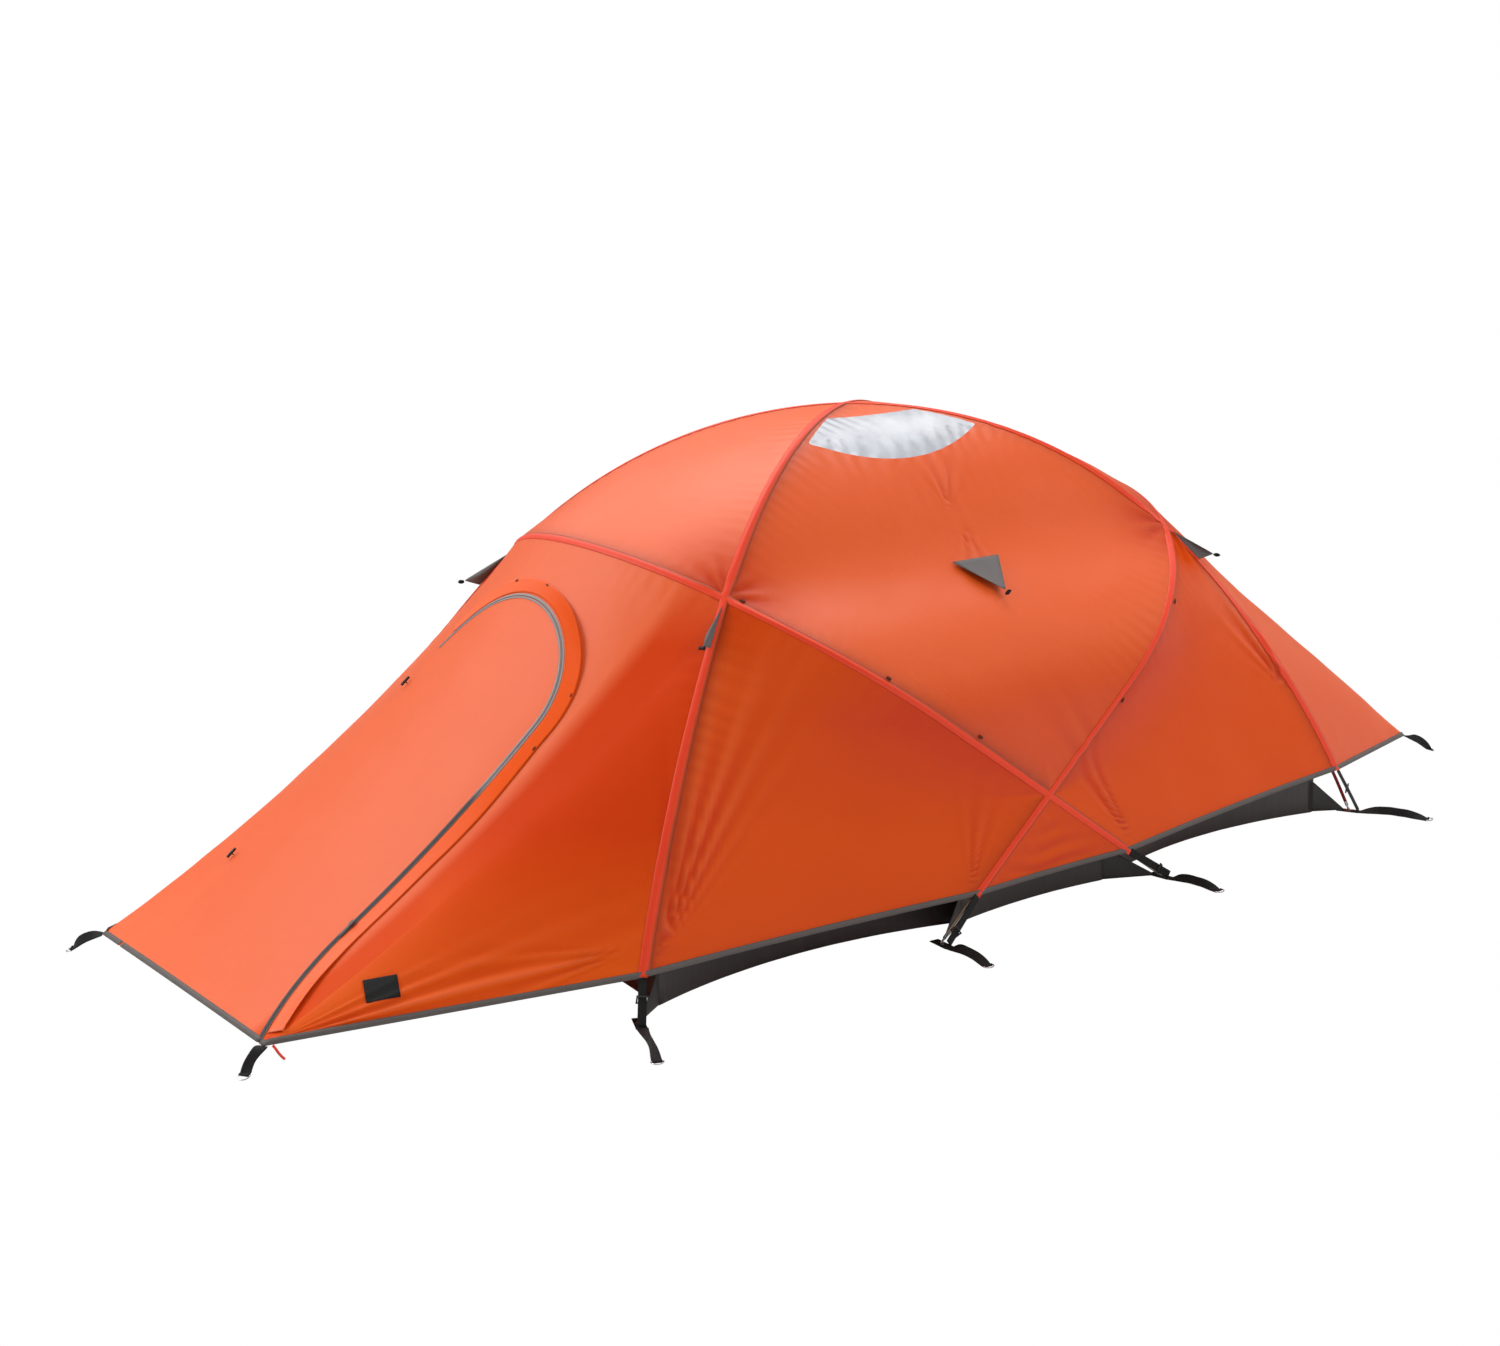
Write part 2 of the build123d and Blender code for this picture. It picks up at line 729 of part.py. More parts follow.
def stake_strap(start, heading, normal, length):
    """Strap along heading that ends in an eye round a peg ring's bar."""
    profile = Pos(length / 2, strap_thickness / 2) * Rectangle(length, strap_thickness)
    profile += Pos(length, eye_outer) * Circle(eye_outer)
    profile -= Pos(length, eye_outer) * Circle(eye_radius)
    upright = Plane(origin=start, x_dir=heading, z_dir=heading.cross(normal))
    return extrude(upright * profile, strap_width / 2, both=True)


def peg_ring(start, heading, normal, length):
    """Wire ring at the strap's end: a straight bar through the eye and a half round bow."""
    base = lying(start + heading * length + normal * eye_outer, heading, normal)
    bar_half = ring_radius
    wire = Circle(ring_wire / 2)
    bar = extrude(Plane(origin=(0, -bar_half, 0), z_dir=(0, 1, 0)) * wire, 2 * bar_half)
    bow = revolve(Plane(origin=(0, -bar_half, 0), z_dir=(1, 0, 0)) * wire, Axis.Z, 180)
    corners = [Pos(0, side * bar_half, 0) * Sphere(ring_wire / 2) for side in (-1, 1)]
    return base * (bar + bow + corners[0] + corners[1])


def buckle_frame():
    """Ladder buckle about its own centre: two bars across the strap and two side rails."""
    rail_y = strap_width / 2 + buckle_side_clearance + buckle_side / 2
    bar_length = 2 * rail_y + buckle_side
    bar = extrude(Plane(origin=(0, -bar_length / 2, 0), z_dir=(0, 1, 0)) * Circle(buckle_bar / 2), bar_length)
    rail = Box(buckle_spacing + buckle_bar, buckle_side, buckle_bar)
    frame = Pos(buckle_spacing / 2, 0, 0) * bar + Pos(-buckle_spacing / 2, 0, 0) * bar
    return frame + Pos(0, rail_y, 0) * rail + Pos(0, -rail_y, 0) * rail


def strap_axes(top, low, heading):
    """Directions of a tension strap that faces along heading: down it, out of it and across it."""
    down = (low - top).normalized()
    normal = (heading - down * heading.dot(down)).normalized()
    return down, normal, normal.cross(down)


def hem_point(name, y_side):
    """Lower end of the ridge above a foot, on the hem of the fly."""
    if name == "pole_a":
        point = fly.arch_hem(hem_front_arch_z if y_side < 0 else hem_rear_arch_z)
        return flip(point, -1 if y_side < 0 else 1, y_side)
    if name == "pole_d":
        point = fly.arch_hem(hem_rear_arch_z if y_side < 0 else hem_front_arch_z)
        return flip(point, 1 if y_side < 0 else -1, y_side)
    return flip(fly.hoop_hem(hem_hoop_z), -1 if name == "pole_b" else 1, y_side)


pole_tips = []
foot_tabs = []
eyelets = []
stake_straps = []
peg_rings = []
tension_straps = []
buckles = {}
buckle_axes = {}
strap_starts = []
for name, side, foot, tangent in feet:
    y_side = math.copysign(1.0, foot.Y)
    heading = strap_heading(name, foot)
    pole_tips.append(pole_tip(foot, tangent))
    foot_tabs.append(foot_tab(foot, heading))
    eyelets.append(eyelet(foot))
    tab_end = Vector(foot.X, foot.Y, 0) + heading * (tab_length / 2 + seat_clearance)
    length = arch_strap_length if name in ("pole_a", "pole_d") else hoop_strap_length
    strap_starts.append((tab_end, heading, UP, length))
    # Tension strap from the hem down to the outer end of the tab, through a ladder buckle.
    top = hem_point(name, y_side) - UP * strap_drop
    seat = tab_end - heading * strap_tab_overlap + UP * (tab_thickness + strap_end_rise)
    low = seat + UP * (abs(strap_axes(top, seat, heading)[2].Z) * strap_width / 2)
    down, normal, across = strap_axes(top, low, heading)
    strap_plane = Plane(origin=(top + low) / 2, x_dir=down, z_dir=normal)
    tension_straps.append(strap_plane * Box((low - top).length, strap_width, strap_thickness))
    centre = between(top, low, arch_buckle_place if name in ("pole_a", "pole_d") else hoop_buckle_place)
    tilted = Plane(origin=centre, x_dir=down, z_dir=normal) * Rot(0, buckle_tilt, 0)
    buckles[f"buckle_{name[-1]}_{side}"] = tilted * buckle_frame()
    buckle_axes[f"buckle_{name[-1]}_{side}"] = (centre, across)

for x_side, corner, turn, length in (
    (-1, front_corner, front_strap_turn, front_strap_length),
    (1, rear_corner, rear_strap_turn, rear_strap_length),
):
    for y_side in (-1, 1):
        start = flip(corner, x_side, y_side)
        flat = Vector(x_side * math.cos(math.radians(turn)), y_side * math.sin(math.radians(turn)), 0)
        reach = length + ring_radius
        fall = (start.Z - eye_outer - ring_wire) / reach
        heading = (flat * math.sqrt(1 - fall**2) - UP * fall).normalized()
        normal = heading.cross(UP).normalized().cross(heading)
        base = start + heading * seat_clearance - normal * strap_thickness
        strap_starts.append((base, heading, normal, length))

for start, heading, normal, length in strap_starts:
    stake_straps.append(stake_strap(start, heading, normal, length))
    peg_rings.append(peg_ring(start, heading, normal, length))


# Inner tent

def inner_bottom(z):
    """Corners of the inner tent at height z, round from the front near one."""
    arch = inner.arch_hem(z)
    hoop = inner.hoop_hem(z)
    near = [arch, flip(hoop, 1, -1), hoop, flip(arch, 1, -1)]
    return near + [Vector(p.X, -p.Y, p.Z) for p in reversed(near)]


def tray_outline(z):
    """Floor outline at height z: edges bow inwards between the corners."""
    corners = inner_bottom(tray_height)
    sags = (tray_edge_sag, tray_middle_sag, tray_edge_sag, tray_end_sag)
    edges = []
    for i, start in enumerate(corners):
        end = corners[(i + 1) % len(corners)]
        inward = UP.cross(end - start).normalized()
        mid = (start + end) / 2 + inward * ((end - start).length * sags[i % 4])
        edges.append(Edge.make_three_point_arc(*[Vector(p.X, p.Y, z) for p in (start, mid, end)]))
    return Wire(edges)


tray_solid = extrude(Face(tray_outline(0.0)), tray_height, dir=(0, 0, 1))
tray_room = offset(Face(tray_outline(cloth_thickness)), -cloth_thickness)
inner_floor = tray_solid - extrude(tray_room, tray_height, dir=(0, 0, 1))

inner_hem_z = tray_height + seat_clearance


def end_wall_rows():
    """Rows of the inner tent's front wall, from the hoop's top down to the tray, far to near."""
    angles = steps(inner.arch.cross_angle, inner.arch.angle_at(inner_hem_z), 5)
    rise = inner.hoop.radius * (1 - math.cos(inner.hoop_cross))
    rows = []
    for i, angle in enumerate(angles):
        near = inner.arch.leg(angle)
        share = i / (len(angles) - 1)
        bow = LEAN * (rise * (1 - share) ** 2) + Vector(tray_end_sag * -2 * near.Y * share**2, 0, 0)
        rows.append(row(flip(near, -1, 1), near, -bow.length, bow.normalized()))
    return rows


wall_rows = end_wall_rows()
wall_foot = wall_rows[-1][1]
wall_plane = Plane(
    origin=wall_foot, x_dir=(0, -1, 0), z_dir=Vector(0, -1, 0).cross(wall_rows[0][1] - wall_foot)
)
inner_wall = Part() + panel(wall_rows)


def inner_door_outline(grow):
    """Outline of the inner door on the wall: straight sill and sides, round top."""
    half = inner_door_half + grow
    low = inner_door_sill - grow
    high = inner_door_sill + inner_door_side
    edges = [
        Edge.make_line((-half, low), (half, low)),
        Edge.make_line((half, low), (half, high)),
        Edge.make_three_point_arc((half, high), (0, high + half), (-half, high)),
        Edge.make_line((-half, high), (-half, low)),
    ]
    return Face(Wire(edges))


def on_wall(face):
    """Prism of an outline on the inner front wall, through the cloth."""
    start = wall_plane * Pos(0, 0, -wall_cut_depth / 2)
    return extrude(start * face, wall_cut_depth, dir=wall_plane.z_dir)


inner_front_wall = inner_wall - on_wall(inner_door_outline(inner_door_gap))
inner_door = inner_wall & on_wall(inner_door_outline(0.0))
inner_rear_wall = inner_wall.mirror(Plane.YZ)


def both_sides(solid):
    """A near piece and its far twin."""
    return [solid, solid.mirror(Plane.XZ)]


def both_ends(solid):
    """A front piece and its rear twin."""
    return [solid, solid.mirror(Plane.YZ)]


inner_side_panels = both_sides(panel(side_rows(inner)))
inner_top_panels = both_ends(panel(top_rows(inner)))
inner_lower = panel(lower_rows(inner, inner_hem_z, inner_hem_z, tray_edge_sag))
inner_middle = panel(middle_rows(inner, inner_hem_z, tray_middle_sag))
inner_lower_panels = []
for piece in both_ends(inner_lower) + [inner_middle]:
    inner_lower_panels += both_sides(piece)


def gusset(corner, foot):
    """Upright triangle of floor cloth from a corner of the tray to a pole's foot."""
    level = tab_thickness + eyelet_flange_thickness + seat_clearance
    along = Vector(foot.X - corner.X, foot.Y - corner.Y, 0)
    reach = along.length - eyelet_flange / 2
    base = Plane(
        origin=Vector(corner.X, corner.Y, 0), x_dir=along, z_dir=along.cross(UP)
    )
    start = seat_clearance + gusset_thickness
    sketch = Polygon((start, level), (reach, level), (start, gusset_height), align=None)
    return extrude(base * sketch, gusset_thickness / 2, both=True)


def nearest_corner(foot):
    """Tray corner that belongs to a pole's foot."""
    return min(inner_bottom(tray_height), key=lambda c: math.hypot(c.X - foot.X, c.Y - foot.Y))


foot_gussets = [gusset(nearest_corner(foot), foot) for _, _, foot, _ in feet]


def clip(run, distance, target):
    """Clip round a pole with a stem to the inner tent's seam."""
    centre = run.point(distance)
    axis = run.tangent(distance)
    inward = target - centre
    inward = (inward - axis * inward.dot(axis)).normalized()
    reach = (target - centre).dot(inward)
    inner_r = pole_radius + clip_clearance
    outer_r = inner_r + clip_wall
    plane = Plane(origin=centre, x_dir=inward, z_dir=axis)
    ring = extrude(plane * (Circle(outer_r) - Circle(inner_r)), clip_length / 2, both=True)
    root = inner_r + clip_wall / 2
    length = reach - seat_clearance - root
    stem = plane * Pos(root + length / 2, 0, 0) * Box(length, stem_thickness, stem_width)
    return ring + stem


def nearest_on_line(point, line):
    """Point of a dense line nearest to a point."""
    return min(line, key=lambda p: (p - point).length)


arch_line = [inner.arch.top(a) for a in steps(0.0, inner.arch.cross_angle, line_samples)]
arch_leg_angles = steps(inner.arch.cross_angle, inner.arch.angle_at(tray_height), line_samples)
arch_line += [inner.arch.leg(a) for a in arch_leg_angles]
hoop_line = [inner.hoop.at(a) for a in steps(0.0, inner.hoop.leg_angle, line_samples)]
hoop_line += [inner.hoop.leg(s) for s in steps(inner.hoop.leg_top(), tray_height / LEAN.Z, line_samples)]


def inner_clips():
    """Clips along all four poles, on the seams of the inner tent."""
    clips = []
    for name, runs in pole_runs.items():
        is_arch = name in ("pole_a", "pole_d")
        for index, share in arch_clip_places if is_arch else hoop_clip_places:
            run = runs[index]
            point = run.point(run.length * share)
            y_side = math.copysign(1.0, point.Y)
            if is_arch:
                line = [flip(p, math.copysign(1.0, point.X), y_side) for p in arch_line]
            else:
                line = [flip(p, -1 if name == "pole_b" else 1, y_side) for p in hoop_line]
            clips.append(clip(run, run.length * share, nearest_on_line(point, line)))
    return clips


# Flysheet panels

fly_side = panel(side_rows(fly))
window_edges = [
    Edge.make_line((-window_top_half, -window_top_y), (window_top_half, -window_top_y)),
    Edge.make_line((window_top_half, -window_top_y), (window_side_half, -window_side_y)),
    Edge.make_three_point_arc(
        (window_side_half, -window_side_y), (0, -window_low_y), (-window_side_half, -window_side_y)
    ),
    Edge.make_line((-window_side_half, -window_side_y), (-window_top_half, -window_top_y)),
]
window_face = Face(Wire(window_edges))
window_hole = extrude(window_face, ridge_apex_z, dir=(0, 0, 1))
window_reach = extrude(offset(window_face, window_overlap), ridge_apex_z, dir=(0, 0, 1))
fly_near_side = Part() + fly_side - window_hole
skylight = (Part() + panel(side_rows(fly), -layer_pitch, window_thickness)) & window_reach

fly_lower_front = panel(lower_rows(fly, hem_front_arch_z, hem_hoop_z, panel_dip))
fly_lower_rear = panel(lower_rows(fly, hem_rear_arch_z, hem_hoop_z, panel_dip)).mirror(Plane.YZ)
fly_lower_middle = panel(middle_rows(fly, hem_hoop_z, panel_dip))
fly_front_top = panel(top_rows(fly))
fly_front_side = panel(vestibule_side_rows(front_corner, hem_front_arch_z, front_hang))
fly_rear_side = panel(vestibule_side_rows(rear_corner, hem_rear_arch_z, rear_hang)).mirror(Plane.YZ)
fly_rear_face = panel(vestibule_face_rows(rear_corner, rear_hang)).mirror(Plane.YZ)


def edge_tape(rows, at_left):
    """Seam tape that follows one edge of a panel, on its outside."""
    bands = []
    for left, mid, right in rows:
        across = Edge.make_three_point_arc(left, mid, right)
        share = seam_width / across.length
        inset = seam_inset / across.length
        first = inset if at_left else 1 - share - inset
        bands.append(tuple(across @ (first + share * part) for part in (0.0, 0.5, 1.0)))
    return panel(bands, layer_gap + seam_thickness, seam_thickness)


def wide_rows(rows):
    """Rows of a panel that are wide enough for tape along both edges."""
    return [r for r in rows if (r[2] - r[0]).length > 3 * seam_width]


def half_turn(solid):
    """A piece turned half round the upright axis."""
    return solid.mirror(Plane.XZ).mirror(Plane.YZ)


def seam_tapes():
    """Seam tape along each ridge, one list of pieces for each pole."""
    high = wide_rows(side_rows(fly)[:panel_rows])
    low = wide_rows(side_rows(fly)[panel_rows - 1:])
    front_leg = wide_rows(lower_rows(fly, hem_front_arch_z, hem_hoop_z, panel_dip))
    rear_leg = wide_rows(lower_rows(fly, hem_rear_arch_z, hem_hoop_z, panel_dip))
    foot = wide_rows(middle_rows(fly, hem_hoop_z, panel_dip))
    arch = [edge_tape(high, True), edge_tape(front_leg, True)]
    arch += [half_turn(edge_tape(high, True)), half_turn(edge_tape(rear_leg, True))]
    hoop = both_sides(edge_tape(low, True)) + both_sides(edge_tape(foot, False))
    hoop += [top_tape()]
    tapes = {"fly_seam_a": arch, "fly_seam_b": hoop}
    arch_d = [edge_tape(high, False), edge_tape(rear_leg, True).mirror(Plane.YZ)]
    arch_d += [half_turn(edge_tape(high, False)), edge_tape(front_leg, True).mirror(Plane.XZ)]
    tapes["fly_seam_c"] = [solid.mirror(Plane.YZ) for solid in hoop]
    tapes["fly_seam_d"] = arch_d
    return tapes


def top_tape():
    """Seam tape over the round top of the front hoop, on the top panel's lower edge."""
    last, before = top_rows(fly)[-1], top_rows(fly)[-2]
    inset = seam_width / (last[1] - before[1]).length
    lower = []
    for share in (inset, 0.0):
        left, mid, right = [between(a, b, share) for a, b in zip(last, before)]
        arc = Edge.make_three_point_arc(left, mid, right)
        cut = (seam_width + seam_thickness) / arc.length
        lower.append((arc @ cut, arc @ 0.5, arc @ (1 - cut)))
    return panel(lower, top_tape_gap + seam_thickness, seam_thickness)


# Guy-out flaps

def fin(x_side, y_side):
    """Upright triangular flap at a crossing, and the loop at its tip."""
    arch = fly.arch
    low_angle = arch.cross_angle + fin_base / arch.leg_radius
    first_angle = arch.cross_angle + seam_width / arch.leg_radius
    sag = arch.leg_radius * (1 - math.cos((low_angle - first_angle) / 2))
    high = 2 * seat_clearance + sag
    first = arch.leg(first_angle) + arch.outward(first_angle) * high
    low = arch.leg(low_angle) + arch.outward(low_angle) * high
    tip = fly.cross + arch.place(fin_reach_out, 0.0) - UP * fin_reach_down
    face = Face(Wire.make_polygon([flip(p, x_side, y_side) for p in (first, tip, low)], close=True))
    side = flip(arch.place(1.0, 0.0), x_side, y_side).cross(UP)
    flap = extrude(face, fin_thickness / 2, dir=side, both=True)
    heading = (tip - (first + low) / 2).normalized()
    centre = flip(tip + heading * (loop_outer / 2 + seat_clearance), x_side, y_side)
    ring = Plane(origin=centre, z_dir=side) * (Circle(loop_outer / 2) - Circle(loop_inner / 2))
    return flap, extrude(ring, loop_thickness / 2, both=True), (centre, side.normalized())


def side_flap():
    """Triangular flap on the near side panel, sewn along its upper edge, with its loop."""
    left, mid, right = side_rows(fly)[panel_rows - 1]
    below = side_rows(fly)[panel_rows][1]
    down = (below - mid).normalized()
    out = down.cross(Vector(1, 0, 0))
    base = mid + Vector(side_flap_x, 0, 0) + out * (2 * seat_clearance + fin_thickness)
    half = Vector(side_flap_width / 2, 0, 0)
    tip = base + down * side_flap_length + out * side_flap_lift
    corners = [base - half, base + half, tip]
    face = Face(Wire.make_polygon(corners, close=True))
    normal = (corners[2] - corners[0]).cross(corners[1] - corners[0]).normalized()
    flap = extrude(face, fin_thickness, dir=normal)
    heading = (tip - base).normalized()
    centre = tip + heading * (loop_outer / 2 + seat_clearance)
    ring = Plane(origin=centre, z_dir=normal) * (Circle(loop_outer / 2) - Circle(loop_inner / 2))
    return flap, extrude(ring, loop_thickness / 2, both=True), (centre, normal)


guy_flaps = []
guy_loops = []
loop_places = []
for x_side in (-1, 1):
    for y_side in (-1, 1):
        flap, loop, place = fin(x_side, y_side)
        guy_flaps.append(flap)
        guy_loops.append(loop)
        loop_places.append(place)
flap, loop, place = side_flap()
guy_flaps += both_sides(flap)
guy_loops += both_sides(loop)
loop_places += [place, tuple(Vector(v.X, -v.Y, v.Z) for v in place)]


# Sliders and toggles

def zip_slider(spot, along, out):
    """Zip slider with its pull, its base at spot, along the zip."""
    body = Box(slider_length, slider_width, slider_height, align=(Align.CENTER, Align.CENTER, Align.MIN))
    body = fillet(body.edges().filter_by(Axis.Z), slider_width / 4)
    pull = Pos(-slider_length / 2 - slider_pull_length / 2 + 4, 0, slider_height / 2)
    tag = pull * Box(slider_pull_length, slider_width / 2, slider_height / 3)
    return Plane(origin=spot, x_dir=along, z_dir=out) * (body + tag)


def zip_point(up):
    """Point on the middle of the zip tape's straight run, where the slider's base runs."""
    share = (up - door_flare_height) / (door_arch_centre - door_flare_height)
    edge = door_flare_half + (door_arch_radius - door_flare_half) * share
    return face_point(edge + door_gap + zip_tape_width / 2, up, tape_base + slider_gap)


slider_spot = zip_point(slider_rest)
zip_along = (zip_point(slider_rest + slider_travel) - slider_spot).normalized()
zip_across = front_plane.z_dir.cross(zip_along).normalized()
zip_out = zip_along.cross(zip_across)
front_zip_slider = zip_slider(slider_spot, zip_along, zip_out)

inner_slider_side = inner_door_half + inner_door_gap + slider_width
inner_slider_spot = surface_point(
    wall_rows, wall_plane, inner_slider_side, inner_slider_rest, inner_slider_gap
)
inner_slider_top = surface_point(
    wall_rows, wall_plane, inner_slider_side, inner_slider_rest + inner_slider_travel, inner_slider_rise
)
inner_zip_along = (inner_slider_top - inner_slider_spot).normalized()
inner_zip_across = wall_plane.z_dir.cross(inner_zip_along).normalized()
inner_zip_slider = zip_slider(inner_slider_spot, inner_zip_along, inner_zip_along.cross(inner_zip_across))


def hinge_across(up):
    """Place of the hinge line across the face, at a height up the slope."""
    return -(door_hinge_foot - (door_hinge_foot - door_arch_radius) * up / door_arch_centre)


# The hinge axis runs straight past the hollow of the hanging face, from the hem to the door's top.
door_top = door_arch_centre + door_arch_radius
hinge_low = face_point(hinge_across(0.0), 0.0)
hinge_high = face_point(hinge_across(door_top), door_top)
hinge_along = (hinge_high - hinge_low).normalized()


def toggle(up):
    """Toggle bar on a short stalk, on the door beside its hinge line, and the axis that it turns on."""
    foot = face_point(hinge_across(up) + toggle_edge, up, toggle_clearance)
    out = front_plane.z_dir
    plane = Plane(origin=foot, x_dir=hinge_along - out * hinge_along.dot(out), z_dir=out)
    stalk = extrude(Circle(toggle_stalk / 2), toggle_lift)
    bar = Plane(origin=(-toggle_length / 2, 0, toggle_lift + toggle_diameter / 2), z_dir=(1, 0, 0))
    rod = extrude(bar * Circle(toggle_diameter / 2), toggle_length)
    rod = fillet(rod.edges(), toggle_diameter / 4)
    return plane * (rod + stalk), foot


toggle_low, toggle_low_foot = toggle(toggle_places[0])
toggle_high, toggle_high_foot = toggle(toggle_places[1])


# Nodes

nodes = {}
elastic_cords = []
for name, runs in pole_runs.items():
    pieces, cord = pole_pieces(runs)
    nodes[name] = pieces
    elastic_cords.append(cord)
nodes["elastic_cords"] = elastic_cords
nodes["pole_tips"] = pole_tips
nodes["eyelets"] = eyelets
nodes["foot_tabs"] = foot_tabs
nodes["stake_straps"] = stake_straps
nodes["peg_rings"] = peg_rings
nodes["tension_straps"] = tension_straps
nodes["inner_floor"] = [inner_floor]
nodes["foot_gussets"] = foot_gussets
nodes["inner_clips"] = inner_clips()
nodes["inner_side_panels"] = inner_side_panels
nodes["inner_top_panels"] = inner_top_panels
nodes["inner_lower_panels"] = inner_lower_panels
nodes["inner_front_wall"] = [inner_front_wall]
nodes["inner_rear_wall"] = [inner_rear_wall]
nodes["inner_door"] = [inner_door]
nodes["inner_zip_slider"] = [inner_zip_slider]
nodes["fly_near_side"] = [fly_near_side]
nodes["fly_far_side"] = [fly_side.mirror(Plane.XZ)]
nodes["skylight"] = [skylight]
nodes["fly_front_top"] = [fly_front_top]
nodes["fly_rear_top"] = [fly_front_top.mirror(Plane.YZ)]
for name, solid in (
    ("lower_front", fly_lower_front),
    ("lower_middle", fly_lower_middle),
    ("lower_rear", fly_lower_rear),
    ("front_side", fly_front_side),
    ("rear_side", fly_rear_side),
):
    nodes[f"fly_near_{name}"] = [solid]
    nodes[f"fly_far_{name}"] = [solid.mirror(Plane.XZ)]
nodes["fly_front_face"] = [fly_front_face]
nodes["fly_rear_face"] = [fly_rear_face]
nodes["fly_door"] = [fly_door]
nodes["door_zip_tape"] = [door_zip_tape]
nodes["door_storm_flap"] = [door_storm_flap]
nodes["front_zip_slider"] = [front_zip_slider]
nodes |= seam_tapes()
nodes["guy_flaps"] = guy_flaps
nodes["guy_loops"] = guy_loops
nodes["toggle_low"] = [toggle_low]
nodes["toggle_high"] = [toggle_high]
nodes |= {name: [frame] for name, frame in buckles.items()}


def solids_of(pieces):
    """All solids of a list of pieces."""
    found = []
    for piece in pieces:
        found += piece.solids()
    return found


os.makedirs("parts", exist_ok=True)
for name, pieces in nodes.items():
    solids = solids_of(pieces)
    export_step(solids[0] if len(solids) == 1 else Compound(children=solids), f"parts/{name}.step")

# Joint axes, in millimetres, as they go into the record.
inner_hinge = surface_point(wall_rows, wall_plane, 0.0, inner_door_sill, -2 * cloth_thickness)
axes = {
    "fly_door": (hinge_low, hinge_along),
    "front_zip_slider": (slider_spot, zip_along),
    "inner_door": (inner_hinge, Vector(0, 1, 0)),
    "inner_zip_slider": (inner_slider_spot, inner_zip_along),
    "toggle_low": (toggle_low_foot, front_plane.z_dir),
    "toggle_high": (toggle_high_foot, front_plane.z_dir),
}
for i, (start, heading, normal, length) in enumerate(strap_starts):
    ring_middle = length + (eye_outer + ring_radius - ring_wire / 2) / 2
    axes[f"peg_ring_{i + 1}"] = (start + heading * ring_middle + normal * eye_outer, normal)
for i, place in enumerate(loop_places):
    axes[f"guy_loop_{i + 1}"] = place
for name, (point, axis) in (axes | buckle_axes).items():
    print(name, *[round(v, 3) for v in point], *[round(v, 6) for v in axis])
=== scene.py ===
import bpy
import math
import numpy as np
from mathutils import Matrix, Vector, noise
from mathutils.bvhtree import BVHTree
from mathutils.kdtree import KDTree


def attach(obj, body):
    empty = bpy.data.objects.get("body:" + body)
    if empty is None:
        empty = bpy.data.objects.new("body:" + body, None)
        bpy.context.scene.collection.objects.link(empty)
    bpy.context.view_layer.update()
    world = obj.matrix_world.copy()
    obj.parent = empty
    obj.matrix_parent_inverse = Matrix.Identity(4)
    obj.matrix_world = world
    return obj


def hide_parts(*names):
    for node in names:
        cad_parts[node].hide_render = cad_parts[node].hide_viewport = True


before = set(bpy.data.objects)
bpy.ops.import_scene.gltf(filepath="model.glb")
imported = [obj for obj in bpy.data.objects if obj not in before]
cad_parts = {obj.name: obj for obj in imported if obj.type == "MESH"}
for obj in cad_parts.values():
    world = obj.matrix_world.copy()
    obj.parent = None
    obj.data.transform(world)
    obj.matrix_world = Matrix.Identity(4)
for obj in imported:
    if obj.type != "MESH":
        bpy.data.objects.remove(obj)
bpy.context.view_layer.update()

bl_info = {
    "name": "Geodesic tent",
    "version": (1, 0, 0),
    "blender": (4, 5, 0),
    "location": "View3D > Sidebar > Tent",
    "description": "Dresses the packed tent with its cloth, webbing and finishes",
    "category": "Object",
}

# Metres. +X to the rear, -Y to the near side, +Z up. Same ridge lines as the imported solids.
APEX_Z = 1.212
FOOT = (1.255, 0.775)
FOOT_R = math.hypot(*FOOT)
HOOP_FOOT = (0.400, 0.830)
HOOP_TOP = (0.890, 0.945)
HOOP_R = 0.765
HEM_FRONT = 0.100
HEM_HOOP = 0.095
HEM_REAR = 0.125
FRONT_CORNER = np.array((-1.985, -0.448, 0.048))
REAR_CORNER = np.array((-1.803, -0.536, 0.080))
DIP = 0.012
CROWN = 3.0
INNER_INSET = 0.075
# Inner door on its wall: half width, and heights of its sill, shoulders and crown up the slope.
INNER_DOOR = (0.31, 0.07, 0.40, 0.71)
TRAY = 0.110
# Floor tray: heights of its rows from the rim down, and how far its sides bow in by turns.
TRAY_LEVELS = (TRAY, TRAY - 0.004, 0.09, 0.06, 0.03, 0.010, 0.003, 0.0008)
TRAY_SAGS = (0.08, 0.04, 0.08, 0.03)
LEAN_LENGTH = math.hypot(HOOP_FOOT[0] + HOOP_TOP[0], HOOP_TOP[1])
LEAN = np.array((-(HOOP_FOOT[0] + HOOP_TOP[0]), 0.0, HOOP_TOP[1])) / LEAN_LENGTH
UP = np.array((0.0, 0.0, 1.0))
MIRROR_X = np.array((-1.0, 1.0, 1.0))
MIRROR_Y = np.array((1.0, -1.0, 1.0))
INSIDE = np.array((0.0, 0.0, 0.2))

# Panels of cloth, as numbers kept with each vertex.
SIDE_NEAR, SIDE_FAR, TOP, LOWER_NEAR, LOWER_FAR, MIDDLE, FRONT, REAR, WALL = range(9)

# Painted shade: how dark each panel is painted beside the ridges A, D, B and C.
RIDGE_SHADE = {
    SIDE_NEAR: (0.65, 0.30, 0.75, 0.10),
    SIDE_FAR: (0.65, 0.30, 0.75, 0.10),
    TOP: (0.0, 0.2, 0.6, 0.4),
    LOWER_NEAR: (0.95, 0.75, 0.0, 0.5),
    LOWER_FAR: (0.95, 0.75, 0.0, 0.5),
}

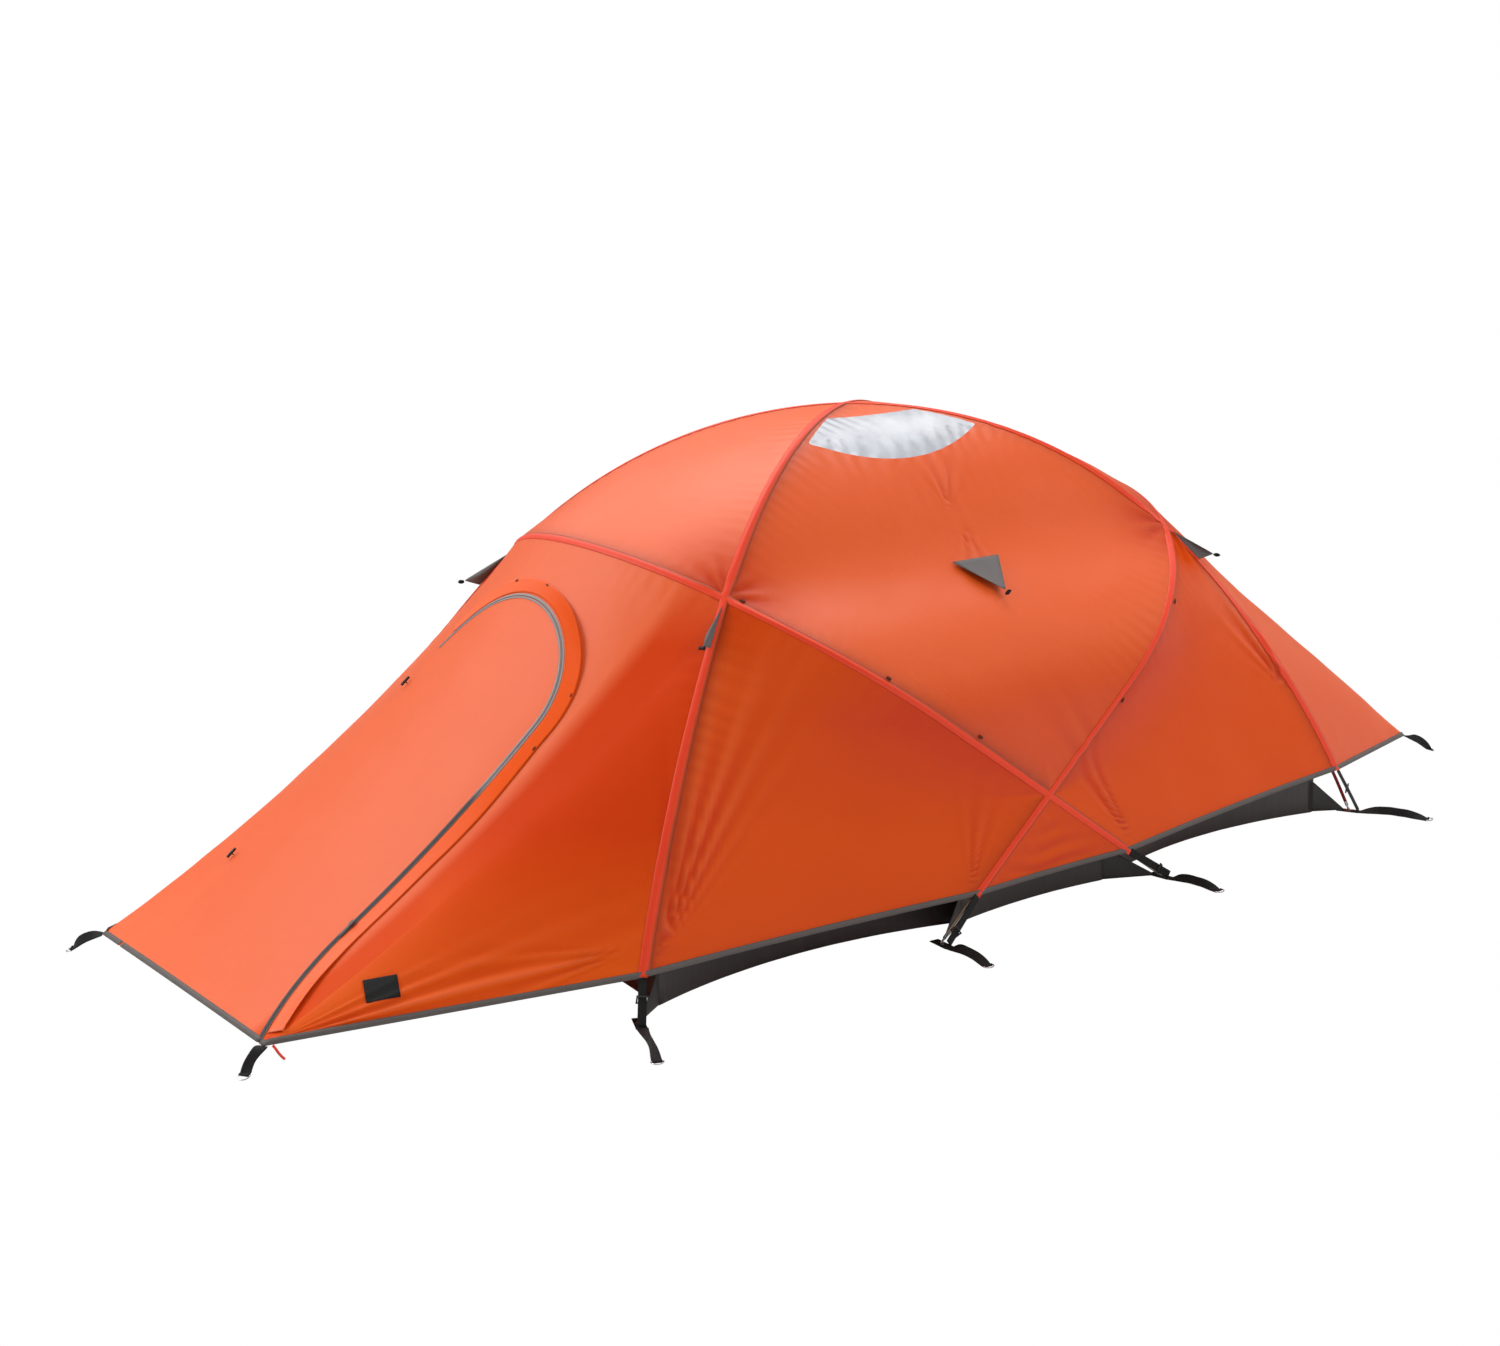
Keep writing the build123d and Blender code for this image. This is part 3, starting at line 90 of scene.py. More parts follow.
# Fly door on the front face: across to the near side, up the slope from the middle of the hem.
DOOR_RADIUS = 0.300
DOOR_CENTRE = 0.940
HINGE_FOOT = 0.335
ZIP_FOOT = 0.425
FLARE = (0.318, 0.300)
FLARE_BOW = 0.026
DOOR_BELOW = 0.144
ZIP_END = 0.280
ZIP_WIDTH = 0.012
FLAP_WIDTH = 0.046
# How far off the face a search for its cloth starts.
FACE_REACH = 0.3
# Storm flap: how far its free edge wavers, where it lifts off and how much, and where it stops above the hem.
FLAP_WAVER = 0.004
FLAP_BULGES = ((0.66, 1.0), (0.05, 0.5))
BULGE_REACH = 0.07
BULGE_HEIGHT = 0.014
FLAP_CLEAR = 0.024
# Zip strips: from and to how far off the zip line, and heights over the cloth.
FLY_TAPE = (0.0006, 0.0085)
DOOR_TAPE = (-0.0055, -0.0006)
COIL = (0.0006, 0.0040)
TAPE_HIGH = 0.0008
TAPE_THICK = 0.0005
COIL_HIGH = (0.0010, 0.0017, 0.0010)
COIL_THICK = 0.0006
# Tacks: shares along the storm flap, length and width, then heights of those beside the sleeve bands.
FLAP_TACKS = (0.47, 0.56, 0.78, 0.86)
FLAP_TACK_SIZE = (0.010, 0.005)
BAND_TACK_SIZE = (0.012, 0.007)
BAND_TACK_OFF = 0.020
TACK_HIGH = 0.0034
TACK_THICK = 0.0022
BAND_TACKS_B = (0.835, 0.640, 0.460)
BAND_TACKS_C = (0.705, 0.500)

# Folds and puckers of the fly: lengths of the waves, and distances over which they fade.
# Each ridge counts its run from a multiple of the step, which is longer than any ridge.
RIDGE_STEP = 10.0
SEAM_FLAT = 0.016
SEAM_FADE = 0.060
PUCKER_WAVE = 0.040
SLACK_CALM = 0.09
MIDDLE_WAVE = (0.0022, 0.046)
WINDOW_WAVE = (0.0020, 0.052)
DOOR_CALM = 0.035
RIM_CALM = 0.014
CREASE_FULL = 0.0038
# Where the painted shade beside the ridges starts, and the distance over which it fades.
RIDGE_SHADE_START = 0.010
RIDGE_SHADE_FADE = 0.019
# Painted light on the fly: where the painted shade of the near part of the front starts, how far the painted
# shade round the crossings reaches, and the way the cloth faces to take painted highlight.
NEAR_FOLD = 0.365
CROSSING_SHADE_REACH = 0.16
SKYWARD = (-0.62, -0.10, 0.78)
RIPSTOP = 0.005
# Webbing and sewn pieces.
BAND_EDGE = 0.0004
BAND_CROWN = 0.0012
BAND_THICK = 0.0006
# The bands of the arches lie over those of the hoops.
ARCH_BAND_LIFT = 0.0006
HOOP_BAND_LIFT = 0.0001
HEM_STEP = 0.008
TAB_SIZE = (0.064, 0.026)
TAB_REACH = 0.0323
TAB_THICK = 0.0019
STAKE_WIDTH = 0.023
# Stake straps: degrees off the way out, and length.
ARCH_STAKE = (25.0, 0.190)
HOOP_STAKE = (6.0, 0.150)
FRONT_STAKE = (33.0, 0.084)
REAR_STAKE = (4.0, 0.140)
TENSION_WIDTH = 0.020
EYE_RADIUS = 0.0026
WEBBING_THICK = 0.0015
FLAP_THICK = 0.0012
LOOP_WIDTH = 0.012
LOOP_REACH = 0.0093
# Guy-out fin: where its sewn edge starts and ends below the crossing, and its tip out and down from there.
FIN_EDGE = (0.026, 0.140)
FIN_TIP = (0.140, 0.085)
# Side flap: how far it lies to the rear, half its sewn edge, and its length.
SIDE_FLAP = (0.034, 0.080, 0.130)
# Foot gusset: heights of its foot and its top at the tray.
GUSSET = (0.0037, 0.096)
GUSSET_THICK = 0.001
LABEL_PLACE = (-1.736, -0.520, 0.137)
LABEL_SIZE = (0.074, 0.050)
LABEL_HIGH = 0.0024
LABEL_THICK = 0.0010
TAIL_DIAMETER = 0.006
TAIL_ROUTE = (
    (-1.967, -0.457, 0.047), (-1.963, -0.461, 0.040), (-1.960, -0.466, 0.032), (-1.956, -0.472, 0.024),
    (-1.951, -0.478, 0.018),
)
# Where the pole ends stand on the ground.
ARCH_FOOT = (1.23798, 0.76449)
HOOP_FOOT_B = (0.39186, 0.81346)
HOOP_FOOT_C = (0.39186, 0.82296)
# The camera that took the photo: place, then pitch, yaw and roll in radians.
CAMERA_PLACE = (-3.7696, -4.5204, 1.8579)
CAMERA_TURN = (0.2315, 0.9208, -0.0178)
SENSOR_WIDTH = 36.0
PICTURE = (1500, 1346)
FLOOR_HALF = 14
FLOOR_Z = -0.001

model = {}


def norm(v):
    """Vectors along the last axis, made one long."""
    return v / np.maximum(np.linalg.norm(v, axis=-1, keepdims=True), 1e-12)


def bell(distance, reach):
    """One at no distance, and less further off."""
    return np.exp(-((distance / reach) ** 2))


def ramp(value, start, width):
    """Rises from 0 to 1 over a width."""
    return np.clip((value - start) / width, 0, 1)


def ripple(distance, length, wander):
    """Sine along a distance, moved on by a wander."""
    return np.sin(distance / length * 2 * math.pi + wander)


def nearest(spots, marks):
    """Number of the mark nearest to each spot, and its distance."""
    tree = KDTree(len(marks))
    for i, mark in enumerate(marks):
        tree.insert(mark, i)
    tree.balance()
    found = [tree.find(spot) for spot in spots]
    return np.array([f[1] for f in found]), np.array([f[2] for f in found])


class Arch:
    """Half of a diagonal arch: a top arc and a leg arc, tangent at the crossing."""

    def __init__(self, apex_z, cross_r, cross_z, foot_r):
        drop = apex_z - cross_z
        self.top_radius = (cross_r**2 + drop**2) / (2 * drop)
        self.top_z = apex_z - self.top_radius
        self.cross_angle = math.asin(cross_r / self.top_radius)
        half_turn = math.atan2(cross_z, foot_r - cross_r) - self.cross_angle
        self.leg_radius = math.hypot(foot_r - cross_r, cross_z) / (2 * math.sin(half_turn))
        self.leg_r = cross_r - self.leg_radius * math.sin(self.cross_angle)
        self.leg_z = cross_z - self.leg_radius * math.cos(self.cross_angle)

    def place(self, r, z):
        return np.stack([-r * FOOT[0] / FOOT_R, -r * FOOT[1] / FOOT_R, z], -1)

    def top(self, angle):
        return self.place(self.top_radius * np.sin(angle), self.top_z + self.top_radius * np.cos(angle))

    def leg(self, angle):
        return self.place(
            self.leg_r + self.leg_radius * np.sin(angle), self.leg_z + self.leg_radius * np.cos(angle)
        )

    def angle_at(self, z):
        return math.acos((z - self.leg_z) / self.leg_radius)


class Hoop:
    """Half of the front hoop in its leaning plane: a round top and a straight leg."""

    def __init__(self, inset):
        self.half_width = HOOP_FOOT[1] - inset
        self.radius = HOOP_R - inset
        self.centre = LEAN_LENGTH - inset - self.radius
        reach = math.hypot(self.half_width, self.centre)
        turn = math.atan2(-self.centre, self.half_width) + math.acos(self.radius / reach)
        self.leg_angle = math.pi / 2 - turn
        self.leg_top = self.centre + self.radius * math.cos(self.leg_angle)

    def place(self, y, slant):
        base = np.stack([np.full_like(y, HOOP_FOOT[0]), -y, np.zeros_like(y)], -1)
        return base + LEAN * np.asarray(slant)[..., None]

    def at(self, angle):
        angle = np.asarray(angle, float)
        return self.place(self.radius * np.sin(angle), self.centre + self.radius * np.cos(angle))

    def leg(self, slant):
        slant = np.asarray(slant, float)
        top_y = self.radius * math.sin(self.leg_angle)
        return self.place(top_y + (self.half_width - top_y) * (1 - slant / self.leg_top), slant)

    def crossing(self):
        share = FOOT[1] / FOOT[0]
        slope = -share * LEAN[0]
        start = -share * HOOP_FOOT[0]
        a = slope**2 + 1
        b = 2 * slope * start - 2 * self.centre
        c = start**2 + self.centre**2 - self.radius**2
        slant = (-b + math.sqrt(b**2 - 4 * a * c)) / (2 * a)
        return math.asin((slope * slant + start) / self.radius)


class Skin:
    """Ridge lines and panels of one layer of cloth, set in from the fly, on grids of a chosen fineness."""

    def __init__(self, inset, fine):
        self.hoop = Hoop(inset)
        self.cross_angle = self.hoop.crossing()
        cross = self.hoop.at(self.cross_angle)
        cross_r = math.hypot(cross[0], cross[1])
        self.cross = cross
        self.arch = Arch(APEX_Z - inset, cross_r, cross[2], FOOT_R - inset)
        self.middle_slant = -HOOP_FOOT[0] / LEAN[0]
        self.n_top = 24 * fine
        self.n_hoop = 20 * fine
        self.n_foot = 12 * fine
        self.n_leg = self.n_hoop + self.n_foot
        self.n_arc = 26 * fine
        self.n_side = 36 * fine
        self.n_low = 22 * fine
        self.n_middle = 12 * fine

    def arch_top(self):
        return self.arch.top(np.linspace(0, self.arch.cross_angle, self.n_top + 1))

    def arch_leg(self, z):
        return self.arch.leg(np.linspace(self.arch.cross_angle, self.arch.angle_at(z), self.n_leg + 1))

    def hoop_down(self):
        bend = self.n_hoop * 3 // 5
        arc = self.hoop.at(np.linspace(self.cross_angle, self.hoop.leg_angle, bend + 1))
        leg = self.hoop.leg(np.linspace(self.hoop.leg_top, self.middle_slant, self.n_hoop - bend + 1))
        return np.vstack([arc, leg[1:]])

    def hoop_foot(self, z):
        return self.hoop.leg(np.linspace(self.middle_slant, z / LEAN[2], self.n_foot + 1))

    def hoop_arc(self):
        return self.hoop.at(np.linspace(self.cross_angle, -self.cross_angle, self.n_arc + 1))

    def side(self):
        left = np.vstack([self.arch_top(), self.hoop_down()[1:]])
        out = norm(np.stack([0 * left[:, 0], left[:, 1], left[:, 2] / 2], -1))
        grid = bow(left, left * MIRROR_X, out * (2 * DIP * left[:, :1]), self.n_side)
        return soften(grid.transpose(1, 0, 2), (self.n_top,), 0.30 * self.n_top, 0.35).transpose(1, 0, 2)

    def top(self):
        near = self.arch_top()
        angles = np.linspace(0, self.arch.cross_angle, self.n_top + 1)
        rise = self.hoop.radius * (1 - math.cos(self.cross_angle))
        share = (np.sin(angles) / math.sin(self.arch.cross_angle)) ** CROWN
        return bow(near, near * MIRROR_Y, LEAN * (rise * share)[:, None], self.n_arc)

    def lower(self, arch_z, hoop_z):
        left = self.arch_leg(arch_z)
        above = self.hoop_down()
        right = np.vstack([above, (self.hoop_foot(hoop_z) * MIRROR_X)[1:]])
        return ease_row(level_bow(left, right, self.n_low), len(above) - 1)

    def middle(self, hoop_z):
        right = self.hoop_foot(hoop_z)
        return level_bow(right * MIRROR_X, right, self.n_middle)

    def vestibule(self, corner, arch_z, hang, rows):
        """Grid from the diagonals' legs and the hoop down to the ground, near hem round to far hem."""
        leg = self.arch_leg(arch_z)
        arc = self.hoop_arc()
        foot = np.array((corner[0], 0.0, corner[2]))
        out = norm(np.cross((0.0, -1.0, 0.0), self.hoop.at(0.0) - foot))
        rise = out[None] * (-2 * DIP * corner[1])
        low = bow(corner[None], (corner * MIRROR_Y)[None], rise, self.n_arc)[0]
        s = np.linspace(0, 1, rows + 1)[:, None, None]
        t = np.linspace(0, 1, self.n_leg + 1)[None, :, None]
        deep = hang * 4 * s * (1 - s) * out
        side = (1 - s) * leg[None] + s * corner - deep * (1 - t)
        face = (1 - s) * arc[None] + s * low[None] - deep
        grid = np.concatenate([side[:, ::-1], face[:, 1:-1], side * MIRROR_Y], axis=1)
        return soften(grid, (self.n_leg, self.n_leg + self.n_arc), 1.5 * self.n_arc / 26) if hang else grid

    def wall(self, hem_z):
        near = self.arch_leg(hem_z)
        share = np.linspace(0, 1, self.n_leg + 1)[:, None]
        rise = self.hoop.radius * (1 - math.cos(self.cross_angle))
        bend = LEAN * rise * (1 - share) ** 2 + np.array((0.06, 0, 0)) * -near[:, 1:2] * share**2
        return bow(near, near * MIRROR_Y, bend, self.n_arc)


def ease_row(grid, row):
    """Takes the crease out of a grid along one of its rows, with all four edges kept."""
    reach = max(2.0, len(grid) / 12)
    smooth = grid.copy()
    for _ in range(int(2 * reach**2)):
        smooth[1:-1] = 0.5 * smooth[1:-1] + 0.25 * (smooth[:-2] + smooth[2:])
    down = np.arange(len(grid))
    share = np.linspace(0, 1, grid.shape[1])
    by_row = bell(down - row, 2.2 * reach) * np.sin(down / down[-1] * math.pi) ** 0.5
    by_column = (1 - share**8) * (1 - (1 - share) ** 8)
    return grid + (smooth - grid) * by_row[:, None, None] * by_column[None, :, None]


def bow(left, right, rise, count):
    """Rows of points on circular arcs from left to right whose middles stand off by rise."""
    chord = right - left
    half = np.linalg.norm(chord, axis=1) / 2
    high = np.maximum(np.linalg.norm(rise, axis=1), 1e-7)
    radius = (half**2 + high**2) / (2 * high)
    angle = np.arcsin(np.clip(half / radius, 0, 1))
    turn = angle[:, None] * np.linspace(-1, 1, count + 1)[None]
    along = norm(chord)[:, None] * (radius[:, None] * np.sin(turn))[..., None]
    lift = norm(rise)[:, None] * (radius[:, None] * np.cos(turn) - (radius - high)[:, None])[..., None]
    grid = ((left + right) / 2)[:, None] + along + lift
    grid[:, 0] = left
    grid[:, -1] = right
    return grid


def level_bow(left, right, count):
    """Rows that dip in level with their ends."""
    chord = right - left
    out = norm(np.cross(chord, UP))
    return bow(left, right, -out * (DIP * np.linalg.norm(chord, axis=1, keepdims=True)), count)


def soften(grid, folds, width, ease=0.6):
    """Round the folds of a grid that run down given columns."""
    grid = grid.copy()
    columns = np.arange(grid.shape[1])
    mask = sum(bell(columns - fold, width) for fold in folds)
    share = np.sin(np.linspace(0, math.pi, grid.shape[0])) ** ease
    weight = (0.5 * np.clip(mask, 0, 1)[None, 1:-1] * share[:, None])[..., None]
    for _ in range(160):
        grid[:, 1:-1] += weight * ((grid[:, :-2] + grid[:, 2:]) / 2 - grid[:, 1:-1])
    return grid


class Cloth:
    """Panels on grids, joined along shared edges into one sheet."""

    def __init__(self):
        self.rows = []
        self.quads = []
        self.count = 0

    def add(self, grid, panel):
        m, n = grid.shape[:2]
        across = np.zeros((m, n))
        across[:, 1:] = np.cumsum(np.linalg.norm(np.diff(grid, axis=1), axis=2), axis=1)
        across -= across[:, n // 2][:, None]
        down = np.zeros(m)
        down[1:] = np.cumsum(np.linalg.norm(np.diff(grid[:, n // 2], axis=0), axis=1))
        down = np.broadcast_to(down[:, None, None], (m, n, 1))
        data = np.concatenate([grid, across[..., None], down, np.full((m, n, 1), panel)], 2)
        index = self.count + np.arange(m * n).reshape(m, n)
        quads = np.stack([index[:-1, :-1], index[1:, :-1], index[1:, 1:], index[:-1, 1:]], -1)
        self.rows.append(data.reshape(-1, 6))
        self.quads.append(quads.reshape(-1, 4))
        self.count += m * n

    def joined(self):
        """Points with their numbers, and faces that all look outwards."""
        rows = np.vstack(self.rows)
        key = np.round(rows[:, :3] / 2e-5).astype(np.int64)
        _, first, back = np.unique(key, axis=0, return_index=True, return_inverse=True)
        points = rows[first]
        quads = back.reshape(-1)[np.vstack(self.quads)]
        p = points[:, :3]
        across = p[quads[:, 2]] - p[quads[:, 0]]
        out = np.cross(across, p[quads[:, 3]] - p[quads[:, 1]])
        flip = np.einsum("ij,ij->i", out, p[quads].mean(axis=1) - INSIDE) < 0
        quads[flip] = quads[flip][:, ::-1]
        faces = []
        for quad in quads.tolist():
            face = tuple(v for v, before in zip(quad, quad[-1:] + quad[:-1]) if v != before)
            if len(set(face)) > 2:
                faces.append(face)
        return points, faces


def split(points, faces, field):
    """Cut faces where the field changes sign: points, faces inside and faces outside."""
    field = np.where(np.abs(field) < 4e-4, 0.0, field).tolist()
    extra = []
    made = {}
    inside = []
    outside = []
    for face in faces:
        marks = [field[i] for i in face]
        if max(marks) <= 0:
            inside.append(face)
            continue
        if min(marks) >= 0:
            outside.append(face)
            continue
        low = []
        high = []
        for a, b in zip(face, face[1:] + face[:1]):
            if field[a] <= 0:
                low.append(a)
            if field[a] >= 0:
                high.append(a)
            if field[a] * field[b] < 0:
                key = (min(a, b), max(a, b))
                if key not in made:
                    made[key] = len(points) + len(extra)
                    share = field[key[0]] / (field[key[0]] - field[key[1]])
                    extra.append(points[key[0]] + (points[key[1]] - points[key[0]]) * share)
                    extra[-1][5] = points[key[0]][5]
                low.append(made[key])
                high.append(made[key])
        inside.append(tuple(low))
        outside.append(tuple(high))
    return np.vstack([points] + [e[None] for e in extra]), inside, outside


def signed_distance(spots, outline):
    """Distance of flat spots to a closed outline, negative inside it."""
    a = outline
    b = np.roll(outline, -1, axis=0)
    best = np.full(len(spots), 1e9)
    inside = np.zeros(len(spots), bool)
    for p, q in zip(a, b):
        edge = q - p
        t = np.clip(((spots - p) @ edge) / max(edge @ edge, 1e-12), 0, 1)
        best = np.minimum(best, np.linalg.norm(spots - p - t[:, None] * edge, axis=1))
        cross = (p[1] > spots[:, 1]) != (q[1] > spots[:, 1])
        if q[1] != p[1]:
            inside ^= cross & (spots[:, 0] < edge[0] * (spots[:, 1] - p[1]) / edge[1] + p[0])
    return np.where(inside, -best, best)


def arc3(a, b, c, count):
    """Flat points on the arc through three points."""
    d = 2 * (a[0] * (b[1] - c[1]) + b[0] * (c[1] - a[1]) + c[0] * (a[1] - b[1]))
    sq = [p[0] ** 2 + p[1] ** 2 for p in (a, b, c)]
    x = (sq[0] * (b[1] - c[1]) + sq[1] * (c[1] - a[1]) + sq[2] * (a[1] - b[1])) / d
    y = (sq[0] * (c[0] - b[0]) + sq[1] * (a[0] - c[0]) + sq[2] * (b[0] - a[0])) / d
    turns = np.unwrap([math.atan2(p[1] - y, p[0] - x) for p in (a, b, c)])
    radius = math.hypot(a[0] - x, a[1] - y)
    turn = np.linspace(turns[0], turns[2], count)
    return np.stack([x + radius * np.cos(turn), y + radius * np.sin(turn)], -1)


def zip_line(last=math.pi):
    """Line of the zip from the near hem corner up the flare and round the arch by the angle last."""
    low = (ZIP_FOOT, 0.0)
    mid = ((ZIP_FOOT + FLARE[0]) / 2 - FLARE_BOW, FLARE[1] / 2)
    flare = arc3(low, mid, FLARE, 40)
    run = np.linspace(FLARE, (DOOR_RADIUS, DOOR_CENTRE), 80)[1:]
    turn = np.linspace(0, last, 121)[1:]
    arch = np.stack([DOOR_RADIUS * np.cos(turn), DOOR_CENTRE + DOOR_RADIUS * np.sin(turn)], -1)
    return np.vstack([flare, run, arch])


def door_outline():
    """Closed outline of the door: the zip line, the hinge side and a cut below the hem."""
    slope = (HINGE_FOOT - DOOR_RADIUS) / DOOR_CENTRE
    low = np.array([(-(HINGE_FOOT + slope * DOOR_BELOW), -DOOR_BELOW), (ZIP_FOOT, -DOOR_BELOW)])
    return np.vstack([zip_line(), low])


face_foot = np.array((FRONT_CORNER[0], 0.0, FRONT_CORNER[2]))
face_x = np.array((0.0, -1.0, 0.0))
face_y = norm(np.array((-HOOP_TOP[0], 0.0, HOOP_TOP[1])) - face_foot)
face_z = np.cross(face_x, face_y)
window_outline = np.vstack([
    [(-0.150, -0.112), (0.150, -0.112)],
    arc3((0.290, -0.205), (0.0, -0.268), (-0.290, -0.205), 60),
])


def on_face(points):
    """Face coordinates of points: across to the near side, and up the slope."""
    return np.stack([(points - face_foot) @ face_x, (points - face_foot) @ face_y], -1)


def mesh_object(name, points, faces, smooth=True):
    """Linked mesh object from plain lists."""
    mesh = bpy.data.meshes.new(name)
    mesh.from_pydata([tuple(map(float, p[:3])) for p in points], [], faces)
    mesh.validate()
    mesh.update()
    if smooth:
        mesh.polygons.foreach_set("use_smooth", [True] * len(mesh.polygons))
    obj = bpy.data.objects.new(name, mesh)
    bpy.context.scene.collection.objects.link(obj)
    return obj


def part_of(name, points, faces, numbers):
    """Mesh object from some faces of a larger set, with its numbers as attributes."""
    used = np.unique(np.concatenate([np.asarray(f) for f in faces]))
    place = {int(v): i for i, v in enumerate(used)}
    obj = mesh_object(name, points[used], [tuple(place[v] for v in f) for f in faces])
    for key, values in numbers.items():
        set_number(obj, key, values[used])
    return obj


def set_number(obj, key, values):
    """Store one number or one vector for each vertex."""
    values = np.asarray(values, np.float32)
    if values.ndim == 1:
        layer = obj.data.attributes.new(key, "FLOAT", "POINT")
        layer.data.foreach_set("value", values)
    else:
        layer = obj.data.attributes.new(key, "FLOAT_VECTOR", "POINT")
        layer.data.foreach_set("vector", np.pad(values, ((0, 0), (0, 3 - values.shape[1]))).ravel())


def grid_faces(m, n, loop=False):
    """Faces of a grid of m rows and n columns."""
    last = n if loop else n - 1
    return [
        (i * n + j, (i + 1) * n + j, (i + 1) * n + (j + 1) % n, i * n + (j + 1) % n)
        for i in range(m - 1) for j in range(last)
    ]


def thicken(obj, thickness):
    """Give a sheet its thickness, half to each side."""
    thick = obj.modifiers.new("thickness", "SOLIDIFY")
    thick.thickness = thickness
    thick.offset = 0.0


def ribbon(name, rows, thickness, lit=0.0):
    """Strip of cloth or webbing with a real thickness; lit says which edge counts as its lit edge."""
    m, n = rows.shape[:2]
    along = np.zeros(m)
    along[1:] = np.cumsum(np.linalg.norm(np.diff(rows[:, n // 2], axis=0), axis=1))
    wide = np.linalg.norm(rows[:, -1] - rows[:, 0], axis=1).mean()
    obj = mesh_object(name, rows.reshape(-1, 3), grid_faces(m, n))
    u = np.broadcast_to(np.linspace(-wide / 2, wide / 2, n)[None], (m, n))
    v = np.broadcast_to(along[:, None], (m, n))
    edge = np.broadcast_to(np.linspace(-1, 1, n)[None], (m, n)).ravel()
    set_number(obj, "weave", np.stack([u.ravel(), v.ravel()], -1))
    set_number(obj, "edge", edge * lit if lit else np.abs(edge))
    thicken(obj, thickness)
    return obj


def merged_object(name, parts, thickness=0.0):
    """Several mesh objects made into one, with their numbers kept and a thickness given to them all."""
    if thickness:
        for part in parts:
            part.modifiers.clear()
    graph = bpy.context.evaluated_depsgraph_get()
    points = []
    faces = []
    numbers = {}
    start = 0
    for part in parts:
        mesh = part.evaluated_get(graph).to_mesh()
        count = len(mesh.vertices)
        buffer = np.zeros(count * 3, np.float32)
        mesh.vertices.foreach_get("co", buffer)
        points.append(buffer.reshape(-1, 3))
        faces += [tuple(start + v for v in p.vertices) for p in mesh.polygons]
        for key in ("weave", "edge"):
            layer = mesh.attributes.get(key)
            size = 3 if key == "weave" else 1
            values = np.zeros(count * size, np.float32)
            if layer:
                layer.data.foreach_get("vector" if size == 3 else "value", values)
            numbers.setdefault(key, []).append(values.reshape(count, size))
        start += count
        part.evaluated_get(graph).to_mesh_clear()
    obj = mesh_object(name, np.vstack(points), faces)
    set_number(obj, "weave", np.vstack(numbers["weave"]))
    set_number(obj, "edge", np.vstack(numbers["edge"])[:, 0])
    if thickness:
        thicken(obj, thickness)
    for part in parts:
        mesh = part.data
        bpy.data.objects.remove(part)
        bpy.data.meshes.remove(mesh)
    return obj


def ridge_lines():
    """Named ridge lines of the fly, each from one hem to the other."""
    skin = model["fly"]
    lines = {}
    for name, x_side in (("a", 1.0), ("d", -1.0)):
        low = skin.arch_leg(HEM_FRONT if x_side > 0 else HEM_REAR)[::-1]
        near = np.vstack([low, skin.arch_top()[::-1][1:]])
        far = np.vstack([skin.arch_top()[1:], skin.arch_leg(HEM_REAR if x_side > 0 else HEM_FRONT)[1:]])
        lines[name] = np.vstack([near * (x_side, 1, 1), far * (-x_side, -1, 1)])
    for name, x_side in (("b", 1.0), ("c", -1.0)):
        half = np.vstack([skin.hoop_foot(HEM_HOOP)[::-1], skin.hoop_down()[::-1][1:]])
        line = np.vstack([half, skin.hoop_arc()[1:-1], half[::-1] * MIRROR_Y])
        lines[name] = line * (x_side, 1, 1)
    return lines


def line_frames(line):
    """Tangents and outward directions along a ridge line that lies in one plane."""
    tangent = norm(np.gradient(line, axis=0))
    plane = norm(np.cross(line[len(line) // 2] - line[0], line[-1] - line[0]))
    out = norm(np.cross(tangent, plane))
    middle = out[len(out) // 2]
    return tangent, out * math.copysign(1.0, middle[2])


def smooth_noise(values, seed):
    """Even noise along a line."""
    return np.array([noise.noise((float(v), seed * 7.31, 0.5)) for v in values])


def fan(points, normals, origin, toward, spread, reach, folds, height, phase=0.0):
    """Folds that run out of one point and fade with distance."""
    q = points - origin
    axis = norm(toward - origin)
    far = np.linalg.norm(q, axis=1)
    near = far < 1.6 * reach
    result = np.zeros(len(points))
    n0 = norm(normals[near][np.argmin(far[near])])
    side = np.cross(n0, axis)
    along = q[near] @ axis
    angle = np.arctan2(q[near] @ side, along)
    share = far[near] / reach
    fade = np.clip(share * 5, 0, 1) * np.exp(-(share**2) * 2.2) * bell(angle, spread)
    facing = np.clip((normals[near] @ n0) * 2 - 0.6, 0, 1)
    wave = 2 * (0.5 + 0.5 * np.cos(angle / spread * math.pi * folds / 2 + phase)) ** 2 - 0.75
    result[near] = height * fade * wave * facing
    return result


def vertex_normals(points, faces):
    """Area-weighted outward normals."""
    mesh = bpy.data.meshes.new("normals")
    mesh.from_pydata([tuple(p[:3]) for p in points], [], faces)
    mesh.update()
    result = np.zeros(len(points) * 3, np.float32)
    mesh.vertices.foreach_get("normal", result)
    bpy.data.meshes.remove(mesh)
    return result.reshape(-1, 3).astype(float)


